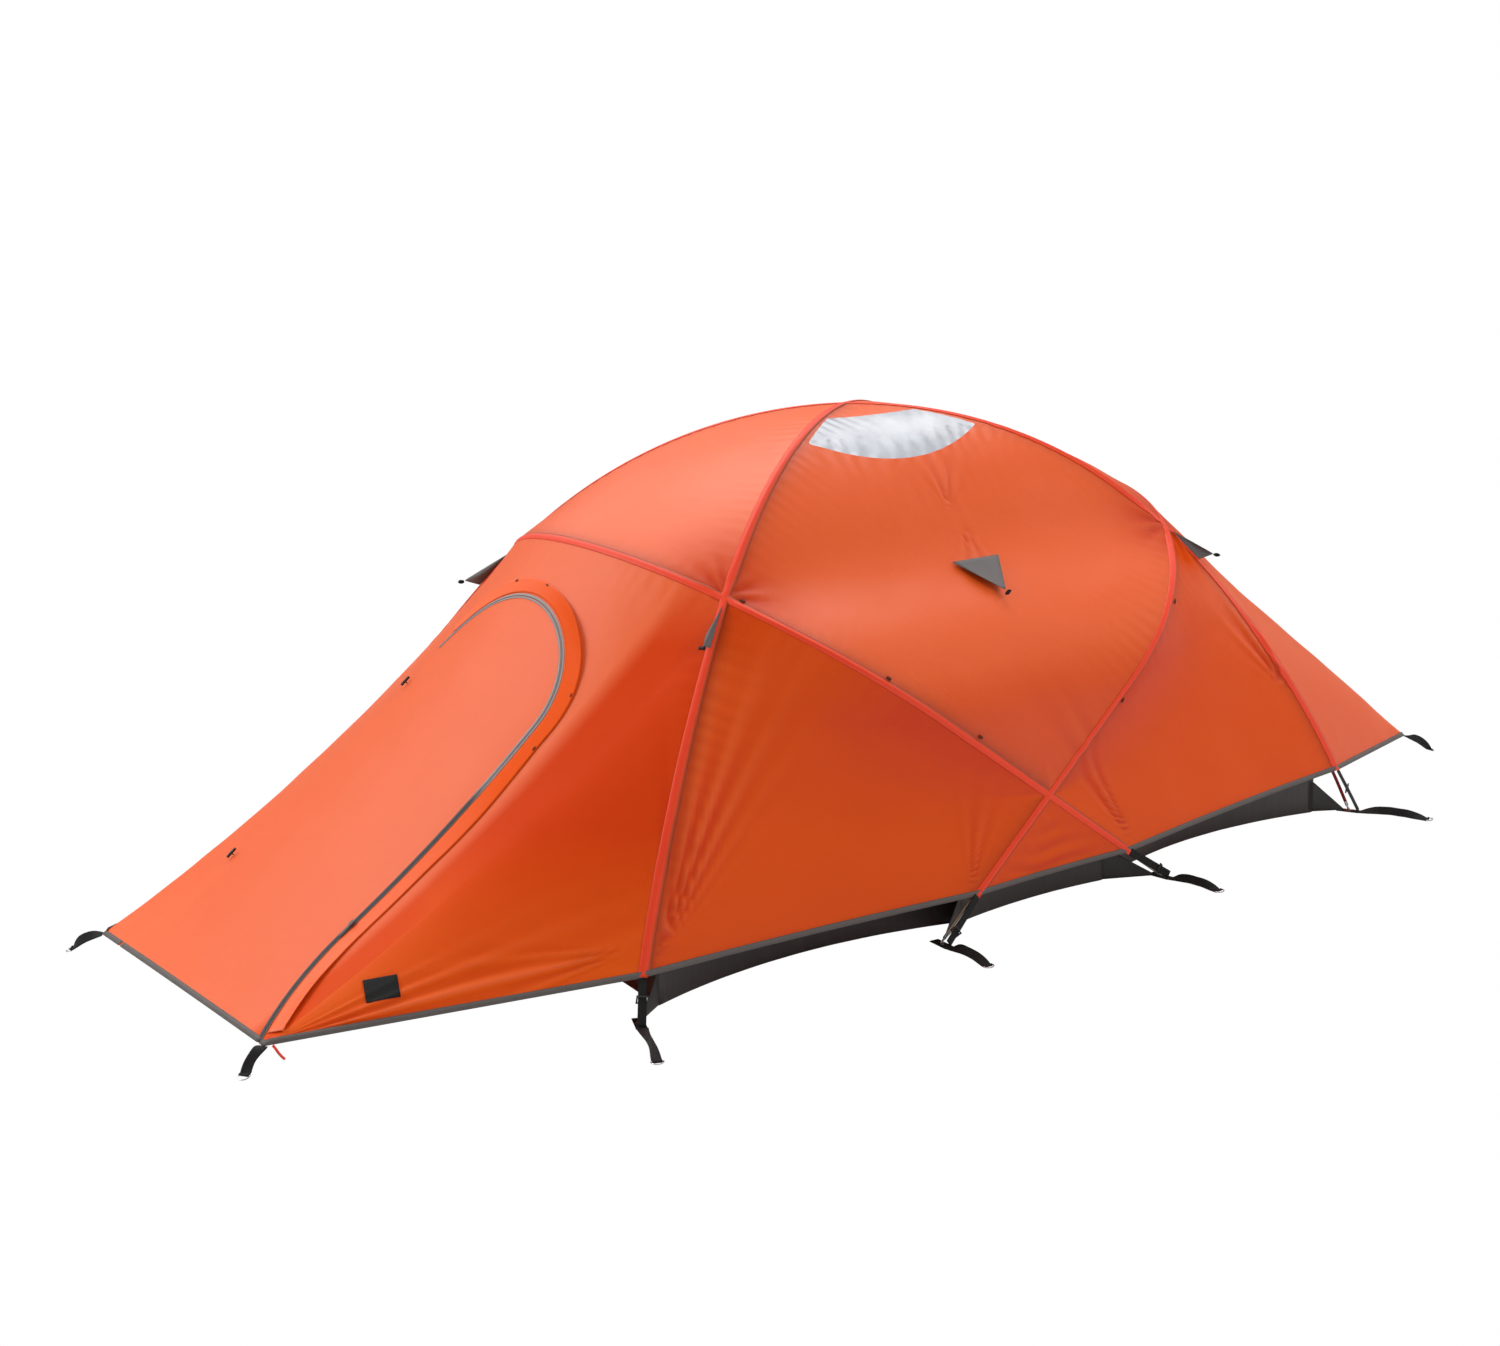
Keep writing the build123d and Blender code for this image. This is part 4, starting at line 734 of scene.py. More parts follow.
def wrinkles(points, faces, grids):
    """How far the cloth stands off its tight shape, its normals, its creases and the painted shade beside the
    ridges.
    """
    p = points[:, :3]
    panel = points[:, 5]
    normals = vertex_normals(points, faces)
    quarters = (0.0, 0.25, 0.5, 0.75)
    marks = []
    run = []
    for k, line in enumerate(model["ridges"].values()):
        fine = np.stack([line[:-1] + (line[1:] - line[:-1]) * t for t in quarters], 1).reshape(-1, 3)
        step = np.linalg.norm(np.diff(fine, axis=0, prepend=fine[:1]), axis=1)
        marks.append(fine)
        run.append(np.cumsum(step) + RIDGE_STEP * k)
    mark, ridge = nearest(p, np.vstack(marks))
    along = np.concatenate(run)[mark]
    cloth = bpy.context.scene.tent_cloth
    # Puckers beside the seams, broad slack, then the fans of folds.
    pucker = (1 - bell(ridge, SEAM_FLAT)) * np.exp(-ridge / SEAM_FADE)
    strength = 0.35 + 0.9 * np.clip(smooth_noise(along * 3.1, 2) + 0.2, 0, 1)
    lift = cloth.pucker * pucker * strength * ripple(along, PUCKER_WAVE, 4 * smooth_noise(along * 9, 1))
    calm = 1 - bell(ridge, SLACK_CALM)
    broad = np.array([noise.noise(Vector(s) * 4.1) + 0.45 * noise.noise(Vector(s) * 9.7) for s in p])
    lift += cloth.slack * calm * broad
    crease = np.zeros(len(p))
    for origin, toward, spread, reach, folds, height, phase in fan_list(grids):
        crease += fan(p, normals, origin, toward, math.radians(spread), reach, folds, height, phase)
    lift += crease
    # Level waves in the middle triangles, and waves that hang from the skylight's lower edge.
    height, length = MIDDLE_WAVE
    lift += height * ((panel == MIDDLE) * calm) * ripple(p[:, 2], length, 3 * smooth_noise(p[:, 0] * 7, 5))
    below = np.abs(signed_distance(p[:, :2], window_outline))
    hang = (panel == SIDE_NEAR) * np.exp(-below / 0.05) * (1 - np.exp(-below / 0.01)) * (p[:, 1] < -0.20)
    height, length = WINDOW_WAVE
    lift += height * hang * ripple(p[:, 0], length, 3 * smooth_noise(p[:, 0] * 8, 8))
    # Calm beside the zip and along the free edges.
    door = np.full(len(p), 1.0)
    front = panel == FRONT
    door[front] = np.abs(signed_distance(on_face(p[front]), door_outline()))
    lift *= 1 - bell(door, DOOR_CALM)
    rim = sorted({v for edge in rim_edges(faces) for v in edge})
    lift *= 1 - bell(nearest(p, p[rim])[1], RIM_CALM)
    line = (along // RIDGE_STEP).astype(int)
    ridge_shade = np.zeros(len(p))
    for number, shares in RIDGE_SHADE.items():
        chosen = panel == number
        ridge_shade[chosen] = np.array(shares)[line[chosen]]
    ridge_shade *= np.exp(-np.clip(ridge - RIDGE_SHADE_START, 0, None) / RIDGE_SHADE_FADE)
    return lift, normals, np.clip(crease / CREASE_FULL, -1, 1), ridge_shade


def rim_edges(faces):
    """Edges that bound only one face."""
    count = {}
    for face in faces:
        for a, b in zip(face, face[1:] + face[:1]):
            key = (min(a, b), max(a, b))
            count[key] = None if key in count else (a, b)
    return [edge for edge in count.values() if edge]


def fan_list(grids):
    """Fans of folds seen on the cloth: where from, which way, spread, reach, count, height, phase."""

    def at(name, row, column):
        grid = grids[name]
        return grid[int(row * (grid.shape[0] - 1)), int(column * (grid.shape[1] - 1))]

    low = "lower_front"
    rear = "lower_rear"
    cross = model["fly"].cross
    back = cross * MIRROR_X
    return [
        (at(low, 0.99, 0.03), at(low, 0.42, 0.17), 12, 0.66, 7, 0.0070, 0.4),
        (at(low, 0.98, 0.97), at(low, 0.62, 0.86), 16, 0.26, 4, 0.0036, 1.0),
        (at(rear, 0.70, 0.03), at(rear, 0.25, 0.10), 15, 0.36, 5, 0.0055, 0.2),
        (at(rear, 0.98, 0.96), at(rear, 0.60, 0.90), 9, 0.42, 3, 0.0070, 0.0),
        (FRONT_CORNER + (0.02, -0.01, 0.01), at("front", 0.12, 0.04), 9, 0.75, 6, 0.0035, 0.7),
        (at("front", 0.02, 0.03), at("front", 0.70, 0.05), 10, 0.50, 5, 0.0030, 0.0),
        (cross, cross + (0.30, -0.02, -0.02), 50, 0.13, 6, 0.0042, 0.5),
        (cross, cross + (0.05, 0.30, 0.30), 45, 0.13, 6, 0.0036, 0.1),
        (back, back + (-0.30, -0.02, 0.02), 50, 0.15, 6, 0.0042, 0.2),
        (back, back + (0.10, -0.10, -0.35), 40, 0.18, 5, 0.0038, 0.9),
        (at("side", 0.44, 0.53), at("side", 0.34, 0.58), 28, 0.20, 5, 0.0036, 0.0),
        (at("side", 0.47, 0.55), at("side", 0.58, 0.53), 22, 0.22, 4, 0.0036, 0.3),
    ]


def srgb(red, green, blue):
    """Linear colour from screen values of 0 to 255."""
    values = []
    for v in (red, green, blue):
        v /= 255
        values.append(v / 12.92 if v <= 0.04045 else ((v + 0.055) / 1.055) ** 2.4)
    return (*values, 1.0)


class Shader:
    """The node tree of a material or a world, built one node at a time."""

    def __init__(self, name, kind="materials"):
        self.owner = getattr(bpy.data, kind).new(name)
        self.owner.use_nodes = True
        self.tree = self.owner.node_tree
        self.tree.nodes.clear()

    def add(self, kind, inputs=None, **settings):
        node = self.tree.nodes.new(kind)
        for key, value in settings.items():
            setattr(node, key, value)
        for key, value in (inputs or {}).items():
            if isinstance(value, bpy.types.NodeSocket):
                self.tree.links.new(value, node.inputs[key])
            else:
                node.inputs[key].default_value = value
        return node

    def mix(self, share, a, b):
        return self.add("ShaderNodeMix", {0: share, 6: a, 7: b}, data_type="RGBA").outputs[2]

    def part(self, share, value, a, b):
        """Colour a turned towards b by a share of a value."""
        return self.mix(self.math("MULTIPLY", value, share), a, b)

    def math(self, operation, a, b=0.0):
        return self.add("ShaderNodeMath", {0: a, 1: b}, operation=operation).outputs[0]

    def number(self, name, output="Fac"):
        return self.add("ShaderNodeAttribute", attribute_name=name).outputs[output]

    def coords(self):
        return self.add("ShaderNodeTexCoord").outputs["Object"]

    def noise(self, spot, scale, detail, rough=0.5):
        inputs = {"Vector": spot, "Scale": scale, "Detail": detail, "Roughness": rough}
        return self.add("ShaderNodeTexNoise", inputs).outputs["Fac"]

    def wave(self, spot, scale, direction, distortion=0.0):
        inputs = {"Vector": spot, "Scale": scale, "Distortion": distortion}
        return self.add("ShaderNodeTexWave", inputs, bands_direction=direction).outputs["Fac"]

    def span(self, value, low, high):
        return self.add("ShaderNodeMapRange", {"Value": value, "From Min": low, "From Max": high}).outputs[0]

    def bump(self, strength, distance, height):
        inputs = {"Strength": strength, "Distance": distance, "Height": height}
        return self.add("ShaderNodeBump", inputs).outputs["Normal"]

    def body(self, tint, rough, normal, more=None):
        inputs = {"Base Color": tint, "Roughness": rough, "Normal": normal, **(more or {})}
        return self.add("ShaderNodeBsdfPrincipled", inputs).outputs[0]

    def blend(self, share, first, second):
        return self.add("ShaderNodeMixShader", {0: share, 1: first, 2: second}).outputs[0]

    def finish(self, surface, kind="Material"):
        self.add(f"ShaderNodeOutput{kind}", {"Surface": surface})
        return self.owner


def lines_apart(pitch):
    """Scale of a wave texture whose lines are a pitch apart."""
    return 2 * math.pi / (20 * pitch)


def cloth_material(name, colour, pale, deep, through=0.25, rough=0.44):
    """Coated ripstop cloth: weave lines, slight unevenness of colour, painted highlight and painted shade
    from its attributes, soft sheen, light through it.
    """
    s = Shader(name)
    spot = s.number("weave", "Vector")
    coords = s.coords()
    scale = lines_apart(RIPSTOP)
    lines = s.math("MAXIMUM", s.wave(spot, scale, "X"), s.wave(spot, scale, "Y"))
    lines = s.math("POWER", lines, 6.0)
    blotch = s.noise(coords, 5.0, 4.0, 0.55)
    crinkle = s.noise(coords, 38.0, 3.0)
    # Painted highlight, towards pale, where the fly faces the light.
    tint = s.mix(s.number("painted_highlight"), colour, pale)
    # Painted shade towards deep.
    tint = s.mix(s.number("shade"), tint, deep)
    # Painted shade, a darker brown, beside the ridges and round the crossings.
    tint = s.mix(s.number("ridge_shade"), tint, srgb(146, 50, 24))
    tint = s.part(0.16, blotch, tint, deep)
    tint = s.part(0.05, lines, tint, pale)
    shine = s.math("MULTIPLY", s.math("SUBTRACT", 1.0, s.number("matt")), 0.55)
    height = s.math("ADD", s.math("MULTIPLY", lines, 0.10), s.math("MULTIPLY", crinkle, 0.9))
    normal = s.bump(0.2, 0.004, height)
    body = s.body(tint, rough, normal, {
        "Specular IOR Level": shine, "Sheen Weight": 0.1, "Sheen Roughness": 0.45, "Sheen Tint": pale,
    })
    glow = s.add("ShaderNodeBsdfTranslucent", {"Color": tint, "Normal": normal}).outputs[0]
    return s.finish(s.blend(through, body, glow))


def webbing_material(name, colour, edge, rib=0.0022, rough=0.7):
    """Woven tape: ribs across it, darker and thicker edges."""
    s = Shader(name)
    spot = s.number("weave", "Vector")
    scale = lines_apart(rib)
    woven = s.math("MULTIPLY", s.wave(spot, scale, "Y", 0.4), s.wave(spot, scale * 1.7, "X"))
    fuzz = s.noise(spot, 900.0, 2.0)
    tint = s.part(0.5, woven, colour, edge)
    tint = s.part(0.6, s.math("POWER", s.number("edge"), 6.0), tint, edge)
    normal = s.bump(0.6, 0.0008, s.math("ADD", woven, s.math("MULTIPLY", fuzz, 0.4)))
    return s.finish(s.body(tint, rough, normal, {"Specular IOR Level": 0.25}))


def hard_material(name, colour, second, metal, rough, scale, bump=0.05):
    """Moulded plastic or finished metal with fine grain and uneven gloss."""
    s = Shader(name)
    coords = s.coords()
    grain = s.noise(coords, scale, 3.0)
    tint = s.part(0.5, s.noise(coords, 9.0, 3.0), colour, second)
    gloss = s.math("ADD", s.math("MULTIPLY", grain, 0.18), rough - 0.09)
    return s.finish(s.body(tint, gloss, s.bump(bump, 0.0006, grain), {"Metallic": metal}))


def film_material(name, colour, second):
    """Clear film given a pale colour as painted reflection, uneven in tone: glossy and half see-through."""
    s = Shader(name)
    cloud = s.noise(s.coords(), 14.0, 4.0)
    normal = s.bump(0.2, 0.004, cloud)
    body = s.body(s.mix(cloud, colour, second), 0.22, normal, {"Specular IOR Level": 0.5})
    clear = s.add("ShaderNodeBsdfTransparent", {"Color": second}).outputs[0]
    return s.finish(s.blend(0.12, body, clear))


def band_material(colours):
    """Sleeve band: a bright stitched edge, and painted shade that darkens the cloth towards the other edge,
    with a painted shadow line along that edge.
    """
    s = Shader("sleeve_band")
    across = s.number("edge")
    rim = s.span(across, 0.72, 0.40)
    stitch = s.wave(s.number("weave", "Vector"), 95.0, "Y")
    seam = s.math("LESS_THAN", s.math("ABSOLUTE", s.math("ADD", across, 0.72)), 0.05)
    line = s.math("MULTIPLY", seam, stitch)
    tint = s.part(0.5, s.noise(s.coords(), 16.0, 3.0), colours.fly, colours.deep)
    # Painted shade over the other part of the band, then a painted shadow line at its far edge.
    tint = s.part(0.75, s.span(across, -0.30, 0.75), tint, colours.shadow)
    tint = s.part(0.7, s.span(across, 0.80, 0.90), tint, colours.shadow)
    tint = s.mix(rim, tint, colours.seam)
    tint = s.part(0.35, line, tint, colours.pale)
    height = s.math("SUBTRACT", s.math("MULTIPLY", rim, 0.5), s.math("MULTIPLY", line, 0.6))
    return s.finish(s.body(tint, 0.5, s.bump(0.3, 0.0006, height), {"Specular IOR Level": 0.3}))


def zip_material(name, light, dark, rib):
    """Zip tape: dark along the lower run, pale above it."""
    s = Shader(name)
    spot = s.number("weave", "Vector")
    along = s.add("ShaderNodeSeparateXYZ", {"Vector": spot}).outputs["Y"]
    ribs = s.wave(spot, lines_apart(rib), "Y")
    tint = s.part(0.3, ribs, s.mix(s.span(along, 0.74, 0.80), dark, light), dark)
    return s.finish(s.body(tint, 0.5, s.bump(0.6, 0.0008, ribs)))


def paint(obj, material):
    """Give an object one material."""
    obj.data.materials.clear()
    obj.data.materials.append(material)


def dress(obj, material, body, slot, *nodes):
    """Give a piece its material and its body, and hide the nodes that it stands for. The slot is not used."""
    paint(obj, material)
    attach(obj, body)
    if nodes:
        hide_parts(*nodes)


def place_on_face(spots, high):
    """Points of the front face's cloth at face coordinates, a little above it."""
    tree = model["bvh"]
    result = []
    down = Vector(-face_z)
    for across, up in spots:
        start = face_foot + face_x * across + face_y * up + face_z * FACE_REACH
        hit, normal, _, _ = tree.ray_cast(Vector(start), down, 0.7)
        if hit is None:
            hit, normal, _, _ = tree.find_nearest(Vector(start - face_z * FACE_REACH))
        if normal.dot(Vector(face_z)) < 0:
            normal = -normal
        result.append(np.array(hit + normal * high))
    return np.array(result)


def sides_of(line):
    """Directions to the right of a flat line, away from the door's middle."""
    tangent = norm(np.gradient(line, axis=0))
    return np.stack([tangent[:, 1], -tangent[:, 0]], -1)


def face_strip(name, line, first, last, high, thickness):
    """Strip on the front face between two offsets from a line; high gives its height at each column."""
    away = sides_of(line)
    rows = []
    for share, lift in zip(np.linspace(0, 1, len(high)), high):
        offset = first + (last - first) * share
        rows.append(place_on_face(line + away * offset, lift))
    return ribbon(name, np.stack(rows, 1), thickness)


def length_of(name, description, metres):
    """Length that can be set in the sidebar."""
    return bpy.props.FloatProperty(name=name, description=description, default=metres, unit="LENGTH")


def level_of(name, description, value):
    """Plain number that can be set in the sidebar."""
    return bpy.props.FloatProperty(name=name, description=description, default=value)


def colour_of(name, description, *screen):
    """Colour that can be set in the sidebar, from screen values of 0 to 255."""
    return bpy.props.FloatVectorProperty(
        name=name, description=description, subtype="COLOR", size=4, default=srgb(*screen))


class TentCloth(bpy.types.PropertyGroup):
    """How the cloth hangs."""

    hang: length_of("Front hang", "How far the front face hangs in", 0.055)
    pucker: length_of("Seam pucker", "Height of the puckers beside the seams", 0.0016)
    slack: length_of("Slack", "Height of broad unevenness in the panels", 0.0030)
    band: length_of("Sleeve band", "Width of the sleeve bands on the ridges", 0.021)
    binding: length_of("Binding", "Height of the hem binding", 0.013)


class TentColours(bpy.types.PropertyGroup):
    """Main colours."""

    fly: colour_of("Fly", "Colour of the fly", 231, 91, 15)
    # Pale is also the colour of the painted highlight, and deep the colour of the painted shade.
    pale: colour_of("Fly, pale", "Fly where it is paler", 240, 116, 70)
    deep: colour_of("Fly, deep", "Fly where it is deeper", 206, 58, 10)
    # Colour of the painted shade on the sleeve bands.
    shadow: colour_of("Fly, folded", "Fly in its folds", 128, 44, 22)
    seam: colour_of("Seams", "Stitched edges of the bands", 210, 56, 25)
    trim: colour_of("Trim", "Grey trim", 98, 94, 93)
    inner: colour_of("Inner", "Inner tent", 236, 214, 170)
    floor: colour_of("Floor", "Groundsheet", 38, 35, 33)


class TentStage(bpy.types.PropertyGroup):
    """Studio."""

    sweep: level_of("Sweep light", "Power of the light over the far side in watts", 215.0)
    top: level_of("Top light", "Power of the light above the rear in watts", 285.0)
    key: level_of("Key light", "Power of the light from the front in watts", 275.0)
    near: level_of("Near light", "Power of the light over the near side in watts", 188.0)
    fill: level_of("Rear light", "Power of the light from the rear in watts", 70.0)
    sky: level_of("Sky", "Strength of the even light from all round", 0.35)
    lens: level_of("Lens", "Focal length in millimetres", 52.45)


def cloth_numbers(points, normals, crease, ridge_shade, cross):
    """Numbers that tint the fly with painted light: painted highlight where it faces the light and on fold
    crests, painted shade where it is steep, in fold valleys, on the near part of the front and round the
    crossings; less gloss on the near part, the low panels and round the crossings.
    """
    panel = points[:, 5]
    # The near part of the front, below the door's arch, turns away from the light: painted shade there,
    # stronger higher up, and on the strip beside it that still faces forward.
    near = ramp(-points[:, 1], NEAR_FOLD, 0.040) * ramp(-points[:, 2], -0.95, 0.2) * (panel == FRONT)
    strip = near * ramp(normals[:, 1], -0.38, 0.18)
    near_shade = np.maximum(near * ramp(points[:, 2], 0.12, 0.28), 0.7 * strip)
    # Painted highlight where the cloth faces the light and on fold crests; painted shade where it is steep
    # and in fold valleys.
    painted_highlight = 0.35 * ramp(normals @ norm(np.array(SKYWARD)), 0.45, 0.5) ** 1.2 * (1 - near_shade)
    steep_shade = np.clip(0.55 - normals[:, 2], 0, 1) * 1.4
    shade = np.where(panel == FRONT, 0.9 * near_shade, steep_shade) + 0.9 * np.clip(-crease, 0, 1)
    # Painted shade round the crossings, where the cloth is gathered.
    apart = np.linalg.norm(np.abs(points[:, :3]) - np.abs(cross), axis=1)
    crossing_shade = bell(apart, CROSSING_SHADE_REACH) * (panel != FRONT)
    low = np.isin(panel, (LOWER_NEAR, LOWER_FAR, MIDDLE))
    return {
        "weave": points[:, 3:5],
        "painted_highlight": painted_highlight + 0.6 * np.clip(crease, 0, 1),
        "shade": np.clip(shade + 0.8 * crossing_shade, 0, 1),
        "ridge_shade": np.maximum(ridge_shade, 0.2 * crossing_shade),
        "matt": np.clip(np.maximum(0.85 * near, 0.6 * low) + 0.7 * crossing_shade, 0, 1),
    }


class TENT_OT_canopy(bpy.types.Operator):
    """Flysheet in one piece, and the door and skylight cut from it"""

    bl_idname = "tent.canopy"
    bl_label = "Flysheet"

    def execute(self, context):
        look = context.scene.tent_cloth
        colours = context.scene.tent_colours
        skin = Skin(0.0, 4)
        model["fly"] = skin
        model["ridges"] = ridge_lines()
        grids = {
            "side": skin.side(),
            "top": skin.top(),
            "lower_front": skin.lower(HEM_FRONT, HEM_HOOP),
            "lower_rear": skin.lower(HEM_REAR, HEM_HOOP) * MIRROR_X,
            "middle": skin.middle(HEM_HOOP),
            "front": skin.vestibule(FRONT_CORNER, HEM_FRONT, look.hang, 112),
            "rear": skin.vestibule(REAR_CORNER, HEM_REAR, 0.0, 92) * MIRROR_X,
        }
        cloth = Cloth()
        for name, panel, other, flips in (
            ("side", SIDE_NEAR, SIDE_FAR, MIRROR_Y), ("top", TOP, TOP, MIRROR_X),
            ("lower_front", LOWER_NEAR, LOWER_FAR, MIRROR_Y), ("lower_rear", LOWER_NEAR, LOWER_FAR, MIRROR_Y),
            ("middle", MIDDLE, MIDDLE, MIRROR_Y),
        ):
            cloth.add(grids[name], panel)
            cloth.add(grids[name] * flips, other)
        cloth.add(grids["front"], FRONT)
        cloth.add(grids["rear"], REAR)
        points, faces = cloth.joined()
        spots = on_face(points[:, :3])
        front = (points[:, 5] == FRONT) & (np.abs(spots[:, 0]) < 0.46)
        field = np.ones(len(points))
        field[front] = signed_distance(spots[front], door_outline())
        points, door, faces = split(points, faces, field)
        near = points[:, 5] == SIDE_NEAR
        field = np.ones(len(points))
        field[near] = signed_distance(points[near][:, :2], window_outline)
        points, window, faces = split(points, faces, field)
        everything = faces + door + window
        lift, normals, crease, ridge_shade = wrinkles(points, everything, grids)
        points = points.copy()
        points[:, :3] += normals * lift[:, None]
        normals = vertex_normals(points, everything)
        numbers = cloth_numbers(points, normals, crease, ridge_shade, skin.cross)
        model["points"] = points
        model["faces"] = everything
        model["door_faces"] = door
        model["grids"] = grids
        model["bvh"] = BVHTree.FromPolygons([Vector(p) for p in points[:, :3]], everything)
        fabric = cloth_material("fly_cloth", colours.fly, colours.pale, colours.deep)
        canopy = part_of("flysheet", points, faces, numbers)
        dress(
            canopy, fabric, "tent", "fly_orange", "fly_near_side", "fly_far_side", "fly_front_top",
            "fly_rear_top", "fly_front_face", "fly_rear_face",
            *[f"fly_{side}_{name}" for side in ("near", "far")
              for name in ("lower_front", "lower_middle", "lower_rear", "front_side", "rear_side")])
        panel = part_of("door_panel", points, door, numbers)
        dress(panel, fabric, "fly_door_body", "fly_orange", "fly_door")
        film = part_of("skylight_film", points, window, numbers)
        # The skylight film's pale colour is painted reflection.
        painted_reflection_film = film_material("skylight_film", srgb(206, 209, 214), srgb(148, 154, 164))
        dress(film, painted_reflection_film, "tent", "window_clear", "skylight")
        return {"FINISHED"}


class TENT_OT_bands(bpy.types.Operator):
    """Sleeve bands along the four ridges"""

    bl_idname = "tent.bands"
    bl_label = "Sleeve bands"

    def execute(self, context):
        look = context.scene.tent_cloth
        material = band_material(context.scene.tent_colours)
        shares = np.linspace(-1.0, 1.0, 9)
        crown = BAND_EDGE + BAND_CROWN * (1 - shares**2)
        for name, line in model["ridges"].items():
            tangent, out = line_frames(line)
            across = np.cross(tangent, out)
            rows = np.zeros((len(line), len(shares), 3))
            lift = ARCH_BAND_LIFT if name in "ad" else HOOP_BAND_LIFT
            for i in range(len(line)):
                for j, share in enumerate(shares):
                    spot = line[i] + across[i] * share * look.band / 2
                    hit = model["bvh"].ray_cast(Vector(spot + out[i] * 0.05), Vector(-out[i]), 0.12)[0]
                    hit = Vector(spot) if hit is None else hit
                    rows[i, j] = np.array(hit) + out[i] * (crown[j] + lift)
            obj = ribbon(f"sleeve_band_{name}", rows, BAND_THICK, 1.0)
            dress(obj, material, "tent", "seam_red", f"fly_seam_{name}")
        return {"FINISHED"}


def hem_loops():
    """Ordered rings of vertices round the hem."""
    after = dict(rim_edges(model["faces"]))
    loops = []
    while after:
        start = next(iter(after))
        loop = [start]
        spot = after.pop(start)
        while spot != start and spot in after:
            loop.append(spot)
            spot = after.pop(spot)
        loops.append(loop)
    return loops


class TENT_OT_hem(bpy.types.Operator):
    """Grey binding round the hem of the fly and of its door"""

    bl_idname = "tent.hem"
    bl_label = "Hem binding"

    def execute(self, context):
        points = model["points"][:, :3]
        loop = max(hem_loops(), key=len)
        kept = loop[:1]
        for v in loop[1:]:
            if np.linalg.norm(points[v] - points[kept[-1]]) > HEM_STEP:
                kept.append(v)
        line = points[kept]
        step = norm(np.roll(line, -1, axis=0) - np.roll(line, 1, axis=0))
        normals = vertex_normals(model["points"], model["faces"])[kept]
        inward = np.cross(step, normals)
        inward = norm(inward * np.sign((inward @ UP))[:, None])
        high = context.scene.tent_cloth.binding
        profile = ((0.0012, high), (0.0016, high * 0.55), (0.0013, 0.001), (0.0, -0.0012), (-0.0013, 0.001),
                   (-0.0016, high * 0.55), (-0.0012, high))
        rows = np.stack([line + normals * o + inward * u for o, u in profile], 1)
        door_points = {v for f in model["door_faces"] for v in f}
        on_door = np.array([v in door_points for v in kept])
        material = webbing_material("hem_binding", srgb(92, 86, 83), srgb(74, 70, 68), 0.0018, 0.6)
        start = int(np.argmax(~on_door & np.roll(on_door, 1)))
        order = np.roll(np.arange(len(kept)), -start)
        cut = int(np.argmax(on_door[order]))
        for name, chosen, body, sheet in (
            ("hem_binding", rows[order[:cut]], "tent", "flysheet"),
            ("door_hem_binding", rows[order[cut:]], "fly_door_body", "door_panel"),
        ):
            obj = ribbon(name, chosen, 0.0004)
            dress(obj, material, body, "trim_grey")
        return {"FINISHED"}


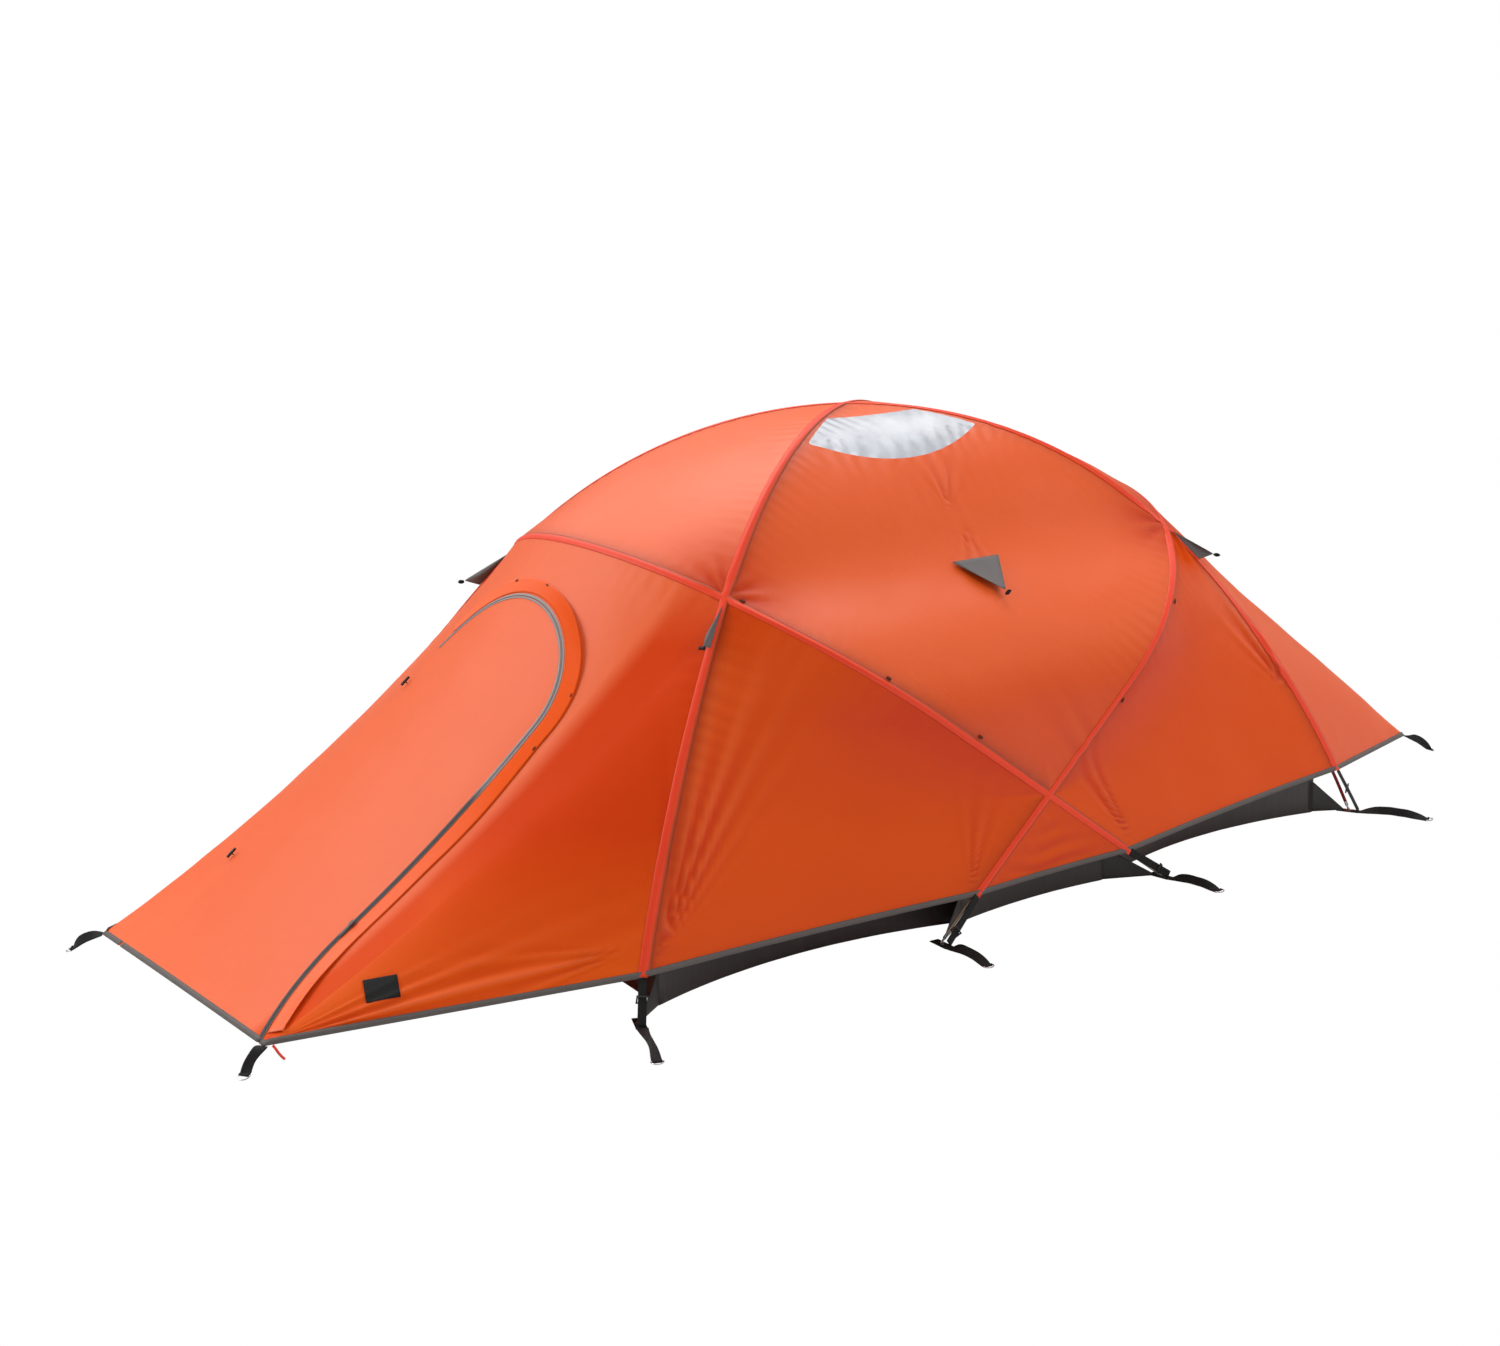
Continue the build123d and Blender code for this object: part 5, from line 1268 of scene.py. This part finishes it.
class TENT_OT_zip(bpy.types.Operator):
    """Zip tapes, coil and storm flap round the door"""

    bl_idname = "tent.zip"
    bl_label = "Door zip"

    def execute(self, context):
        colours = context.scene.tent_colours
        line = zip_line(math.acos(-ZIP_END / (DOOR_RADIUS + ZIP_WIDTH / 2)))
        tape = zip_material("zip_tape", srgb(150, 142, 140), srgb(70, 66, 65), 0.0016)
        coil = zip_material("zip_coil", srgb(112, 106, 105), srgb(34, 32, 32), 0.0020)
        outer = face_strip("zip_tape_fly", line, *FLY_TAPE, (TAPE_HIGH,) * 4, TAPE_THICK)
        inner = face_strip("zip_tape_door", line, *DOOR_TAPE, (TAPE_HIGH,) * 3, TAPE_THICK)
        teeth = face_strip("zip_coil", line, *COIL, COIL_HIGH, COIL_THICK)
        dress(outer, tape, "tent", "zip_grey", "door_zip_tape")
        dress(inner, tape, "fly_door_body", "zip_grey")
        dress(teeth, coil, "tent", "zip_grey")
        line = zip_line(math.acos(-ZIP_END / (DOOR_RADIUS + ZIP_WIDTH + FLAP_WIDTH / 2)))
        line = line[np.linalg.norm(line - line[0], axis=1) > FLAP_CLEAR]
        away = np.linspace(0, 1, len(line))
        width = FLAP_WIDTH - FLAP_WAVER + FLAP_WAVER * np.sin(away * 23)
        bulge = sum(share * bell(away - place, BULGE_REACH) for place, share in FLAP_BULGES)
        rows = []
        for share in np.linspace(0, 1, 9):
            offset = ZIP_WIDTH + 0.0005 + width * share
            lift = 0.0016 + 0.0015 * share + BULGE_HEIGHT * bulge * share**2
            spots = line + sides_of(line) * offset[:, None]
            rows.append(place_on_face(spots, 0.0) + face_z * lift[:, None])
        rows = np.stack(rows, 1)
        flap = ribbon("storm_flap", rows, 0.0006)
        # Painted shade, with less gloss, on the part of the storm flap that turns away from the light, and
        # painted highlight on the rest.
        turned = np.repeat(ramp(away, 0.1, 0.3) * ramp(-away, -0.97, 0.25), rows.shape[1])
        set_number(flap, "painted_highlight", 0.12 - 0.12 * turned)
        set_number(flap, "matt", 0.9 * turned)
        set_number(flap, "shade", 0.4 * turned)
        cloth = cloth_material("flap_cloth", colours.fly, colours.pale, colours.deep, through=0.12)
        dress(flap, cloth, "tent", "fly_orange", "door_storm_flap")
        tacks = []
        for place in FLAP_TACKS:
            i = int(place * (len(rows) - 1))
            tacks.append(tack(rows[i, -2], rows[i + 2, -2] - rows[i - 2, -2], face_z, *FLAP_TACK_SIZE))
        for name, places in (("b", BAND_TACKS_B), ("c", BAND_TACKS_C)):
            line = model["ridges"][name]
            tangent, out = line_frames(line)
            for height in places:
                i = int(np.argmin(np.where(line[:, 1] < 0, np.abs(line[:, 2] - height), 9.0)))
                across = np.cross(tangent[i], out[i]) * BAND_TACK_OFF
                tacks.append(tack(line[i] + across, tangent[i], out[i], *BAND_TACK_SIZE))
        thread = webbing_material("tack_thread", srgb(96, 34, 20), srgb(60, 22, 14), 0.0012)
        dress(merged_object("bar_tacks", tacks), thread, "tent", "webbing_black")
        return {"FINISHED"}


def tack(centre, along, out, length, width):
    """Small block of stitching on the fly."""
    hit, normal, _, _ = model["bvh"].find_nearest(Vector(centre))
    out = norm(np.array(normal)) * math.copysign(1.0, float(np.dot(np.array(normal), out)))
    along = norm(along - out * np.dot(along, out))
    across = np.cross(out, along)
    rows = [
        [np.array(hit) + along * u * length + across * v * width + out * TACK_HIGH for v in (-0.5, 0.0, 0.5)]
        for u in np.linspace(-0.5, 0.5, 7)
    ]
    return ribbon("tack", np.array(rows), TACK_THICK)


class TENT_OT_flaps(bpy.types.Operator):
    """Grey guy-out flaps with their webbing loops, and the blank label"""

    bl_idname = "tent.flaps"
    bl_label = "Guy-out flaps"

    def execute(self, context):
        trim = context.scene.tent_colours.trim
        grey = webbing_material("flap_grey", trim, srgb(90, 87, 86), 0.0030, 0.65)
        black = webbing_material("loop_webbing", srgb(34, 33, 33), srgb(16, 16, 16))
        label_black = webbing_material("label_cloth", srgb(26, 25, 25), srgb(12, 12, 12), 0.0012, 0.6)
        skin = model["fly"]
        sides = (1.0, -1.0)
        pairs = [crossing_fin(skin, np.array((x_side, y_side, 1.0))) for x_side in sides for y_side in sides]
        pairs += [side_flap(skin, np.array((1.0, y_side, 1.0))) for y_side in sides]
        flap = merged_object("guy_flap_set", [pair[0] for pair in pairs], FLAP_THICK)
        dress(flap, grey, "tent", "trim_grey", "guy_flaps")
        loop = merged_object("guy_loop_set", [pair[1] for pair in pairs])
        dress(loop, black, "tent", "webbing_black", "guy_loops")
        label = surface_patch("blank_label", LABEL_PLACE, *LABEL_SIZE)
        dress(label, label_black, "tent", "webbing_black")
        return {"FINISHED"}


def triangle_rows(first, second, tip, count, bulge):
    """Rows of points that narrow from a sewn edge to a tip, bellied out a little."""
    rows = []
    side = norm(np.cross(second - first, tip - first))
    for t in np.linspace(0, 0.97, count):
        a = first + (tip - first) * t
        b = second + (tip - second) * t
        u = np.linspace(0, 1, 9)[:, None]
        belly = bulge * 4 * u * (1 - u) * math.sin(math.pi * min(t * 1.1, 1))
        rows.append(a + (b - a) * u + side * belly)
    return np.stack(rows)


def ring_rows(centre, axis, radius, width):
    """Rows of a small webbing loop standing on edge round a centre."""
    axis = norm(axis)
    first = norm(np.cross(axis, UP + np.array((0.01, 0.02, 0.0))))
    second = np.cross(axis, first)
    turns = np.linspace(0, 2 * math.pi, 33)
    ring = centre + radius * (np.cos(turns)[:, None] * first + 0.4 * np.sin(turns)[:, None] * second)
    return np.stack([ring + axis * w for w in np.linspace(-width / 2, width / 2, 5)], 1)


def crossing_fin(skin, flips):
    """Upright flap under a crossing, and the loop at its tip."""
    arch = skin.arch

    def sewn(run):
        angle = arch.cross_angle + run / arch.leg_radius
        return arch.leg(angle) + arch.place(np.sin(angle), np.cos(angle)) * 0.0030

    first, low = (sewn(run) for run in FIN_EDGE)
    tip = skin.cross + arch.place(FIN_TIP[0], 0.0) - UP * FIN_TIP[1]
    side = norm(np.cross(arch.place(1.0, 0.0), UP))
    flap = ribbon("fin", triangle_rows(first, low, tip, 14, 0.010) * flips, FLAP_THICK)
    centre = tip + norm(tip - (first + low) / 2) * LOOP_REACH
    loop = ribbon("loop", ring_rows(centre, side, 0.0066, LOOP_WIDTH) * flips, 0.0032)
    return flap, loop


def side_flap(skin, flips):
    """Flap on a side panel, sewn along its upper edge, with its loop."""
    row = model["grids"]["side"][skin.n_top]
    below = model["grids"]["side"][skin.n_top + skin.n_hoop // 5]
    middle = len(row) // 2
    down = norm(below[middle] - row[middle])
    out = np.cross(down, (1.0, 0.0, 0.0))
    rear, wide, length = SIDE_FLAP
    base = row[middle] + np.array((rear, 0, 0)) + out * 0.0065
    half = np.array((wide, 0, 0))
    tip = base + down * length + out * 0.016
    flap = ribbon("flap", triangle_rows(base - half, base + half, tip, 14, 0.006) * flips, FLAP_THICK)
    centre = tip + norm(tip - base) * LOOP_REACH
    loop = ribbon("loop", ring_rows(centre, np.cross(down, norm(half)), 0.0070, LOOP_WIDTH) * flips, 0.0014)
    return flap, loop


def surface_patch(name, centre, width, height):
    """Small patch that lies on the fly, along the hem."""
    along = norm(FRONT_CORNER - model["grids"]["front"][0, 0])
    hit, normal, _, _ = model["bvh"].find_nearest(Vector(centre))
    normal = norm(np.array(normal))
    along = norm(along - normal * (along @ normal))
    up = np.cross(normal, along)
    rows = []
    for v in np.linspace(-height / 2, height / 2, 17):
        row = []
        for u in np.linspace(-width / 2, width / 2, 25):
            above = np.array(hit) + along * u + up * v + normal * 0.03
            spot = model["bvh"].ray_cast(Vector(above), Vector(-normal))[0]
            row.append(np.array(spot) + normal * LABEL_HIGH)
        rows.append(row)
    return ribbon(name, np.array(rows), LABEL_THICK)


class TENT_OT_inner(bpy.types.Operator):
    """Inner tent with its door, floor tray and corner gussets"""

    bl_idname = "tent.inner"
    bl_label = "Inner tent"

    def execute(self, context):
        colours = context.scene.tent_colours
        skin = Skin(INNER_INSET, 2)
        hem = TRAY + 0.0003
        cloth = Cloth()
        side = skin.side()
        lower = skin.lower(hem, hem)
        middle = skin.middle(hem)
        wall = skin.wall(hem)
        for flips in (np.ones(3), MIRROR_Y):
            cloth.add(side * flips, SIDE_NEAR)
            cloth.add(lower * flips, LOWER_NEAR)
            cloth.add(lower * flips * MIRROR_X, LOWER_NEAR)
            cloth.add(middle * flips, MIDDLE)
        for flips in (np.ones(3), MIRROR_X):
            cloth.add(skin.top() * flips, TOP)
            cloth.add(wall * flips, WALL)
        points, faces = cloth.joined()
        middle_row = wall[:, wall.shape[1] // 2]
        foot = middle_row[-1]
        up = norm(middle_row[0] - foot)
        front = (points[:, 5] == WALL) & (points[:, 0] < 0)
        spots = np.stack([-(points[:, 1]), (points[:, :3] - foot) @ up], -1)
        field = np.ones(len(points))
        half, sill, shoulder, crown = INNER_DOOR
        arch = arc3((half, shoulder), (0.0, crown), (-half, shoulder), 80)
        outline = np.vstack([[(-half, sill), (half, sill)], arch])
        field[front] = signed_distance(spots[front], outline)
        points, door, faces = split(points, faces, field)
        broad = np.array([noise.noise(Vector(s) * 6.0) for s in points[:, :3]])
        normals = vertex_normals(points, faces + door)
        points = points.copy()
        points[:, :3] -= normals * (0.0015 + 0.0015 * broad)[:, None]
        numbers = {"weave": points[:, 3:5]}
        material = cloth_material(
            "inner_cloth", colours.inner, srgb(248, 236, 208), srgb(214, 184, 132), through=0.4)
        tent = part_of("inner_canopy", points, faces, numbers)
        dress(tent, material, "tent", "inner_yellow", "inner_side_panels", "inner_top_panels",
              "inner_lower_panels", "inner_front_wall", "inner_rear_wall")
        panel = part_of("inner_door_panel", points, door, numbers)
        dress(panel, material, "inner_door_body", "inner_yellow", "inner_door")
        self.tray(skin, colours)
        return {"FINISHED"}

    def tray(self, skin, colours):
        """Floor tray with upright sides, and gussets out to the pole feet."""
        arch = skin.arch_leg(TRAY)[-1]
        hoop = skin.hoop_foot(TRAY)[-1]
        near = [arch, hoop * MIRROR_X, hoop, arch * MIRROR_X]
        corners = near + [p * MIRROR_Y for p in reversed(near)]
        ring = []
        for i, start in enumerate(corners):
            end = corners[(i + 1) % 8]
            chord = end - start
            inward = norm(np.cross(UP, chord))
            sag = inward * TRAY_SAGS[i % 4] * np.linalg.norm(chord)
            ring.append(bow(start[None], end[None], sag[None], 40)[0][:-1])
        ring = np.vstack(ring)
        ring[:, 2] = 0.0
        count = len(ring)
        rows = []
        for k, z in enumerate(TRAY_LEVELS):
            crease = np.array([0.0012 * noise.noise((p[0] * 14, p[1] * 14, z * 20)) for p in ring])
            pull = 0.004 if k == len(TRAY_LEVELS) - 1 else 0.0006
            rows.append(ring * (1 - pull - crease[:, None]) + UP * z)
        for share in np.linspace(0.94, 0.0, 16):
            flat = ring * share * 0.996
            bumps = np.array([0.0008 + 0.0008 * (1 + noise.noise((p[0] * 5, p[1] * 5, 3.0))) for p in flat])
            rows.append(flat + UP * bumps[:, None])
        grid = np.stack(rows)
        obj = mesh_object("floor_tray", grid.reshape(-1, 3), grid_faces(len(rows), count, True))
        set_number(obj, "weave", grid.reshape(-1, 3)[:, :2])
        dark = cloth_material(
            "floor_cloth", colours.floor, srgb(96, 90, 86), srgb(34, 32, 31), through=0.0, rough=0.4)
        dress(obj, dark, "tent", "floor_grey", "inner_floor")
        parts = []
        for foot in pole_feet():
            corner = min(corners, key=lambda c: math.hypot(c[0] - foot[0], c[1] - foot[1]))
            first, high = (np.array((corner[0], corner[1], z)) for z in GUSSET)
            along = norm(np.array((foot[0] - corner[0], foot[1] - corner[1], 0.0)))
            tip = np.array((foot[0], foot[1], GUSSET[0])) - along * 0.010
            back = along * 0.006
            rows = triangle_rows(first - back, high - back, tip, 12, 0.003)
            parts.append(ribbon("gusset", rows, GUSSET_THICK))
        gusset = merged_object("foot_gusset_set", parts, GUSSET_THICK)
        black = cloth_material(
            "gusset_cloth", srgb(20, 19, 18), srgb(48, 45, 43), srgb(12, 12, 11), through=0.0)
        dress(gusset, black, "tent", "floor_grey", "foot_gussets")


def pole_feet():
    """Feet of the four poles on the ground: A, B, C and D, near then far."""
    return [
        np.array((x * foot[0], y * foot[1], 0.0)) for foot, x, y in (
            (ARCH_FOOT, -1, -1), (ARCH_FOOT, 1, 1), (HOOP_FOOT_B, 1, -1), (HOOP_FOOT_B, 1, 1),
            (HOOP_FOOT_C, -1, -1), (HOOP_FOOT_C, -1, 1), (ARCH_FOOT, 1, -1), (ARCH_FOOT, -1, 1),
        )
    ]


def strap_rows(start, heading, normal, length, width, eye, wave, seed, twist=0.0):
    """Rows of webbing from a start along a heading, twisted midway, ending in an eye that wraps a bar."""
    across = np.cross(normal, heading)
    spots = []
    turns = []
    for d in np.linspace(0, length, max(int(length / 0.006), 6)):
        ease = math.sin(math.pi * d / length)
        turns.append(twist * ease)
        rise = wave * ease * (1 + noise.noise((d * 30, seed, 0.0))) + width / 2 * abs(math.sin(turns[-1]))
        spots.append(start + heading * d + normal * rise)
    if eye:
        centre = start + heading * length + normal * eye
        for turn in np.linspace(-math.pi / 2, math.pi, 16)[1:]:
            spots.append(centre + (heading * math.cos(turn) + normal * math.sin(turn)) * eye)
        spots.append(centre - heading * eye * 2.2 - normal * (eye * 0.35))
        spots.append(centre - heading * eye * 5.0 - normal * (eye * 0.45))
    spots = np.array(spots)
    turns = np.array(turns + [0.0] * (len(spots) - len(turns)))[:, None]
    lie = across * np.cos(turns) + normal * np.sin(turns)
    return spots[:, None] + lie[:, None] * np.linspace(-width / 2, width / 2, 7)[None, :, None]


class TENT_OT_straps(bpy.types.Operator):
    """Webbing: foot tabs, tension straps and stake straps"""

    bl_idname = "tent.straps"
    bl_label = "Straps"

    def execute(self, context):
        skin = model["fly"]
        black = webbing_material("strap_webbing", srgb(24, 23, 23), srgb(9, 9, 9))
        tabs = []
        stakes = []
        tension = []
        hems = (skin.arch_leg(HEM_FRONT)[-1], skin.arch_leg(HEM_REAR)[-1], skin.hoop_foot(HEM_HOOP)[-1])
        for k, foot in enumerate(pole_feet()):
            arch = k in (0, 1, 6, 7)
            turn, length = ARCH_STAKE if arch else HOOP_STAKE
            lean = math.radians(turn)
            sides = np.array((math.copysign(1, foot[0]), math.copysign(1, foot[1]), 1.0))
            heading = np.array((math.sin(lean), math.cos(lean), 0.0)) * sides
            tab_start = foot - heading * (TAB_SIZE[0] / 2) + UP * 0.001
            tab = strap_rows(tab_start, heading, UP, *TAB_SIZE, 0.0, 0.0, k)
            tabs.append(ribbon("tab", tab, TAB_THICK))
            tab_end = foot + heading * TAB_REACH
            rows = strap_rows(
                tab_end + UP * 0.0009, heading, UP, length, STAKE_WIDTH, EYE_RADIUS, 0.0016, k + 3.0, 1.3)
            stakes.append(ribbon("stake", rows, WEBBING_THICK))
            if arch:
                hem = np.abs(hems[0] if foot[0] < 0 else hems[1]) * sides
            else:
                hem = hems[2] * (math.copysign(1, foot[0]), -math.copysign(1, foot[1]), 1.0)
            top = hem - UP * 0.0012
            low = tab_end - heading * 0.004 + UP * 0.003
            for _ in range(2):
                down = norm(low - top)
                normal = norm(heading - down * (heading @ down))
                across = np.cross(normal, down)
                low = tab_end - heading * 0.004 + UP * (0.003 + abs(across[2]) * 0.010)
            length = float(np.linalg.norm(low - top))
            rows = strap_rows(top, down, normal, length, TENSION_WIDTH, 0.0, 0.0004, k + 9.0)
            tension.append(ribbon("tension", rows, WEBBING_THICK))
        for corner, x_side, (turn, length) in ((FRONT_CORNER, 1, FRONT_STAKE), (REAR_CORNER, -1, REAR_STAKE)):
            for y_side in (1, -1):
                flips = np.array((x_side, y_side, 1.0))
                start = corner * flips
                angle = math.radians(turn)
                flat = np.array((-math.cos(angle), -math.sin(angle), 0.0)) * flips
                fall = (start[2] - 0.0065) / (length + 0.014)
                heading = norm(flat * math.sqrt(1 - fall**2) - UP * fall)
                normal = np.cross(norm(np.cross(heading, UP)), heading)
                start = start - normal * 0.0008
                rows = strap_rows(
                    start, heading, normal, length, STAKE_WIDTH, EYE_RADIUS, 0.0010, turn, -1.1)
                stakes.append(ribbon("stake", rows, WEBBING_THICK))
        self.tail()
        for name, parts, node in (
            ("foot_tab_set", tabs, "foot_tabs"),
            ("stake_strap_set", stakes, "stake_straps"),
            ("tension_strap_set", tension, "tension_straps"),
        ):
            dress(merged_object(name, parts), black, "tent", "webbing_black", node)
        return {"FINISHED"}

    def tail(self):
        """Short red cord tail that hangs from the near front corner."""
        curve = bpy.data.curves.new("cord_tail", "CURVE")
        curve.dimensions = "3D"
        line = curve.splines.new("NURBS")
        line.points.add(len(TAIL_ROUTE) - 1)
        for point, spot in zip(line.points, TAIL_ROUTE):
            point.co = (*spot, 1.0)
        line.order_u = 3
        line.use_endpoint_u = True
        obj = bpy.data.objects.new("cord_tail", curve)
        bpy.context.scene.collection.objects.link(obj)
        bare = bpy.data.meshes.new_from_object(obj)
        bpy.data.meshes.remove(bare)
        curve.bevel_depth = TAIL_DIAMETER / 2
        curve.bevel_resolution = 4
        curve.use_fill_caps = True
        red = hard_material("cord_red", srgb(222, 66, 38), srgb(180, 44, 26), 0.0, 0.7, 900.0, bump=0.6)
        obj.data.materials.append(red)
        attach(obj, "tent")


class TENT_OT_hardware(bpy.types.Operator):
    """Finishes of the poles, tips, rings, buckles, clips, sliders and toggles"""

    bl_idname = "tent.hardware"
    bl_label = "Hardware"

    def execute(self, context):
        finishes = {
            key: hard_material(name, srgb(*first), srgb(*second), *rest)
            for key, name, first, second, *rest in (
                ("pole_red", "pole_red", (120, 30, 24), (90, 20, 18), 0.9, 0.32, 300.0),
                ("pole_pale", "pole_pale", (186, 176, 158), (160, 150, 134), 0.9, 0.30, 300.0),
                ("bare", "turned_metal", (176, 176, 178), (140, 140, 143), 1.0, 0.30, 240.0),
                ("steel", "plated_steel", (198, 198, 200), (168, 168, 170), 1.0, 0.22, 200.0),
                ("moulded", "moulded_black", (34, 33, 33), (24, 23, 23), 0.0, 0.48, 420.0, 0.2),
                ("slider", "die_cast", (96, 95, 96), (62, 61, 62), 0.9, 0.36, 260.0),
            )
        }
        finishes["elastic"] = webbing_material("elastic", srgb(216, 216, 212), srgb(170, 170, 168))
        chosen = {
            "pole_a": "pole_red", "pole_d": "pole_red", "pole_b": "pole_pale", "pole_c": "pole_pale",
            "pole_tips": "bare", "eyelets": "steel", "peg_rings": "steel", "inner_clips": "moulded",
            "toggle_low": "moulded", "toggle_high": "moulded", "front_zip_slider": "slider",
            "inner_zip_slider": "slider", "elastic_cords": "elastic",
        }
        for name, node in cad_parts.items():
            if name.startswith("buckle"):
                paint(node, finishes["moulded"])
            elif name in chosen:
                paint(node, finishes[chosen[name]])
        return {"FINISHED"}


class TENT_OT_stage(bpy.types.Operator):
    """White floor, soft lights and the camera"""

    bl_idname = "tent.stage"
    bl_label = "Stage"

    def execute(self, context):
        scene = context.scene
        look = scene.tent_stage
        white = (1, 1, 1, 1)
        s = Shader("floor_white")
        ray = s.add("ShaderNodeLightPath").outputs["Is Camera Ray"]
        grain = s.add("ShaderNodeTexNoise", {"Scale": 3.0}).outputs["Fac"]
        tint = s.part(0.04, grain, (0.80, 0.80, 0.80, 1), (0.76, 0.76, 0.76, 1))
        plain = s.add("ShaderNodeBsdfDiffuse", {"Color": tint}).outputs[0]
        bright = s.add("ShaderNodeEmission", {"Color": white, "Strength": 1.0}).outputs[0]
        corners = np.array([(-1, -1, 0), (1, -1, 0), (1, 1, 0), (-1, 1, 0)]) * FLOOR_HALF + UP * FLOOR_Z
        floor = mesh_object("studio_floor", corners, [(0, 1, 2, 3)], False)
        paint(floor, s.finish(s.blend(ray, plain, bright)))
        s = Shader("studio", "worlds")
        ray = s.add("ShaderNodeLightPath").outputs["Is Camera Ray"]
        bright = s.add("ShaderNodeBackground", {"Color": white, "Strength": 1.0}).outputs[0]
        sky = s.add("ShaderNodeBackground", {"Color": (1.0, 0.99, 0.98, 1), "Strength": look.sky}).outputs[0]
        scene.world = s.finish(s.blend(ray, sky, bright), "World")
        for name, place, target, size, power in (
            ("sweep_light", (-0.8, 4.8, 6.0), (-0.4, 0.0, 0.7), 6.5, look.sweep),
            ("top_light", (1.9, 1.4, 6.3), (0.3, -0.2, 0.7), 5.0, look.top),
            ("key_light", (-5.6, 2.4, 4.4), (-0.8, 0.0, 0.6), 3.0, look.key),
            ("near_light", (0.8, -5.8, 4.2), (0.0, 0.0, 0.4), 3.2, look.near),
            ("rear_light", (6.0, -1.5, 3.0), (0.8, 0.0, 0.4), 3.0, look.fill),
        ):
            light = bpy.data.lights.new(name, "AREA")
            light.energy = power
            light.size = size
            lamp = bpy.data.objects.new(name, light)
            lamp.location = place
            lamp.visible_glossy = name != "near_light"
            lamp.rotation_euler = (Vector(target) - Vector(place)).to_track_quat("-Z", "Y").to_euler()
            scene.collection.objects.link(lamp)
        camera = bpy.data.cameras.new("photo_camera")
        camera.lens = look.lens
        camera.sensor_width = SENSOR_WIDTH
        camera.clip_end = 60.0
        eye = bpy.data.objects.new("photo_camera", camera)
        pitch, yaw, roll = CAMERA_TURN
        ahead = np.array((math.cos(pitch) * math.cos(yaw), math.cos(pitch) * math.sin(yaw), -math.sin(pitch)))
        right = np.array((math.sin(yaw), -math.cos(yaw), 0.0))
        above = np.cross(right, ahead)
        turned = math.cos(roll) * right + math.sin(roll) * above
        above = -math.sin(roll) * right + math.cos(roll) * above
        turn = Matrix(np.stack([turned, above, -ahead], 1).tolist()).to_4x4()
        eye.matrix_world = Matrix.Translation(CAMERA_PLACE) @ turn
        scene.collection.objects.link(eye)
        scene.camera = eye
        scene.render.engine = "CYCLES"
        scene.render.resolution_x, scene.render.resolution_y = PICTURE
        scene.view_settings.view_transform = "Standard"
        return {"FINISHED"}


class TENT_PT_panel(bpy.types.Panel):
    """Sidebar panel of the tent"""

    bl_idname = "TENT_PT_panel"
    bl_label = "Tent"
    bl_space_type = "VIEW_3D"
    bl_region_type = "UI"
    bl_category = "Tent"

    def draw(self, context):
        column = self.layout.column()
        for group in (context.scene.tent_cloth, context.scene.tent_colours, context.scene.tent_stage):
            for key in group.__annotations__:
                column.prop(group, key)
        for operator in OPERATORS:
            column.operator(operator.bl_idname)


GROUPS = (TentCloth, TentColours, TentStage)
OPERATORS = (
    TENT_OT_canopy, TENT_OT_bands, TENT_OT_hem, TENT_OT_zip, TENT_OT_flaps, TENT_OT_inner, TENT_OT_straps,
    TENT_OT_hardware, TENT_OT_stage,
)


def register():
    for item in (*GROUPS, *OPERATORS, TENT_PT_panel):
        bpy.utils.register_class(item)
    bpy.types.Scene.tent_cloth = bpy.props.PointerProperty(type=TentCloth)
    bpy.types.Scene.tent_colours = bpy.props.PointerProperty(type=TentColours)
    bpy.types.Scene.tent_stage = bpy.props.PointerProperty(type=TentStage)


def unregister():
    del bpy.types.Scene.tent_stage
    del bpy.types.Scene.tent_colours
    del bpy.types.Scene.tent_cloth
    for item in reversed((*GROUPS, *OPERATORS, TENT_PT_panel)):
        bpy.utils.unregister_class(item)


def main():
    register()
    bpy.ops.tent.canopy()
    bpy.ops.tent.bands()
    bpy.ops.tent.hem()
    bpy.ops.tent.zip()
    bpy.ops.tent.flaps()
    bpy.ops.tent.inner()
    bpy.ops.tent.straps()
    bpy.ops.tent.hardware()
    bpy.ops.tent.stage()


if __name__ == "__main__":
    main()
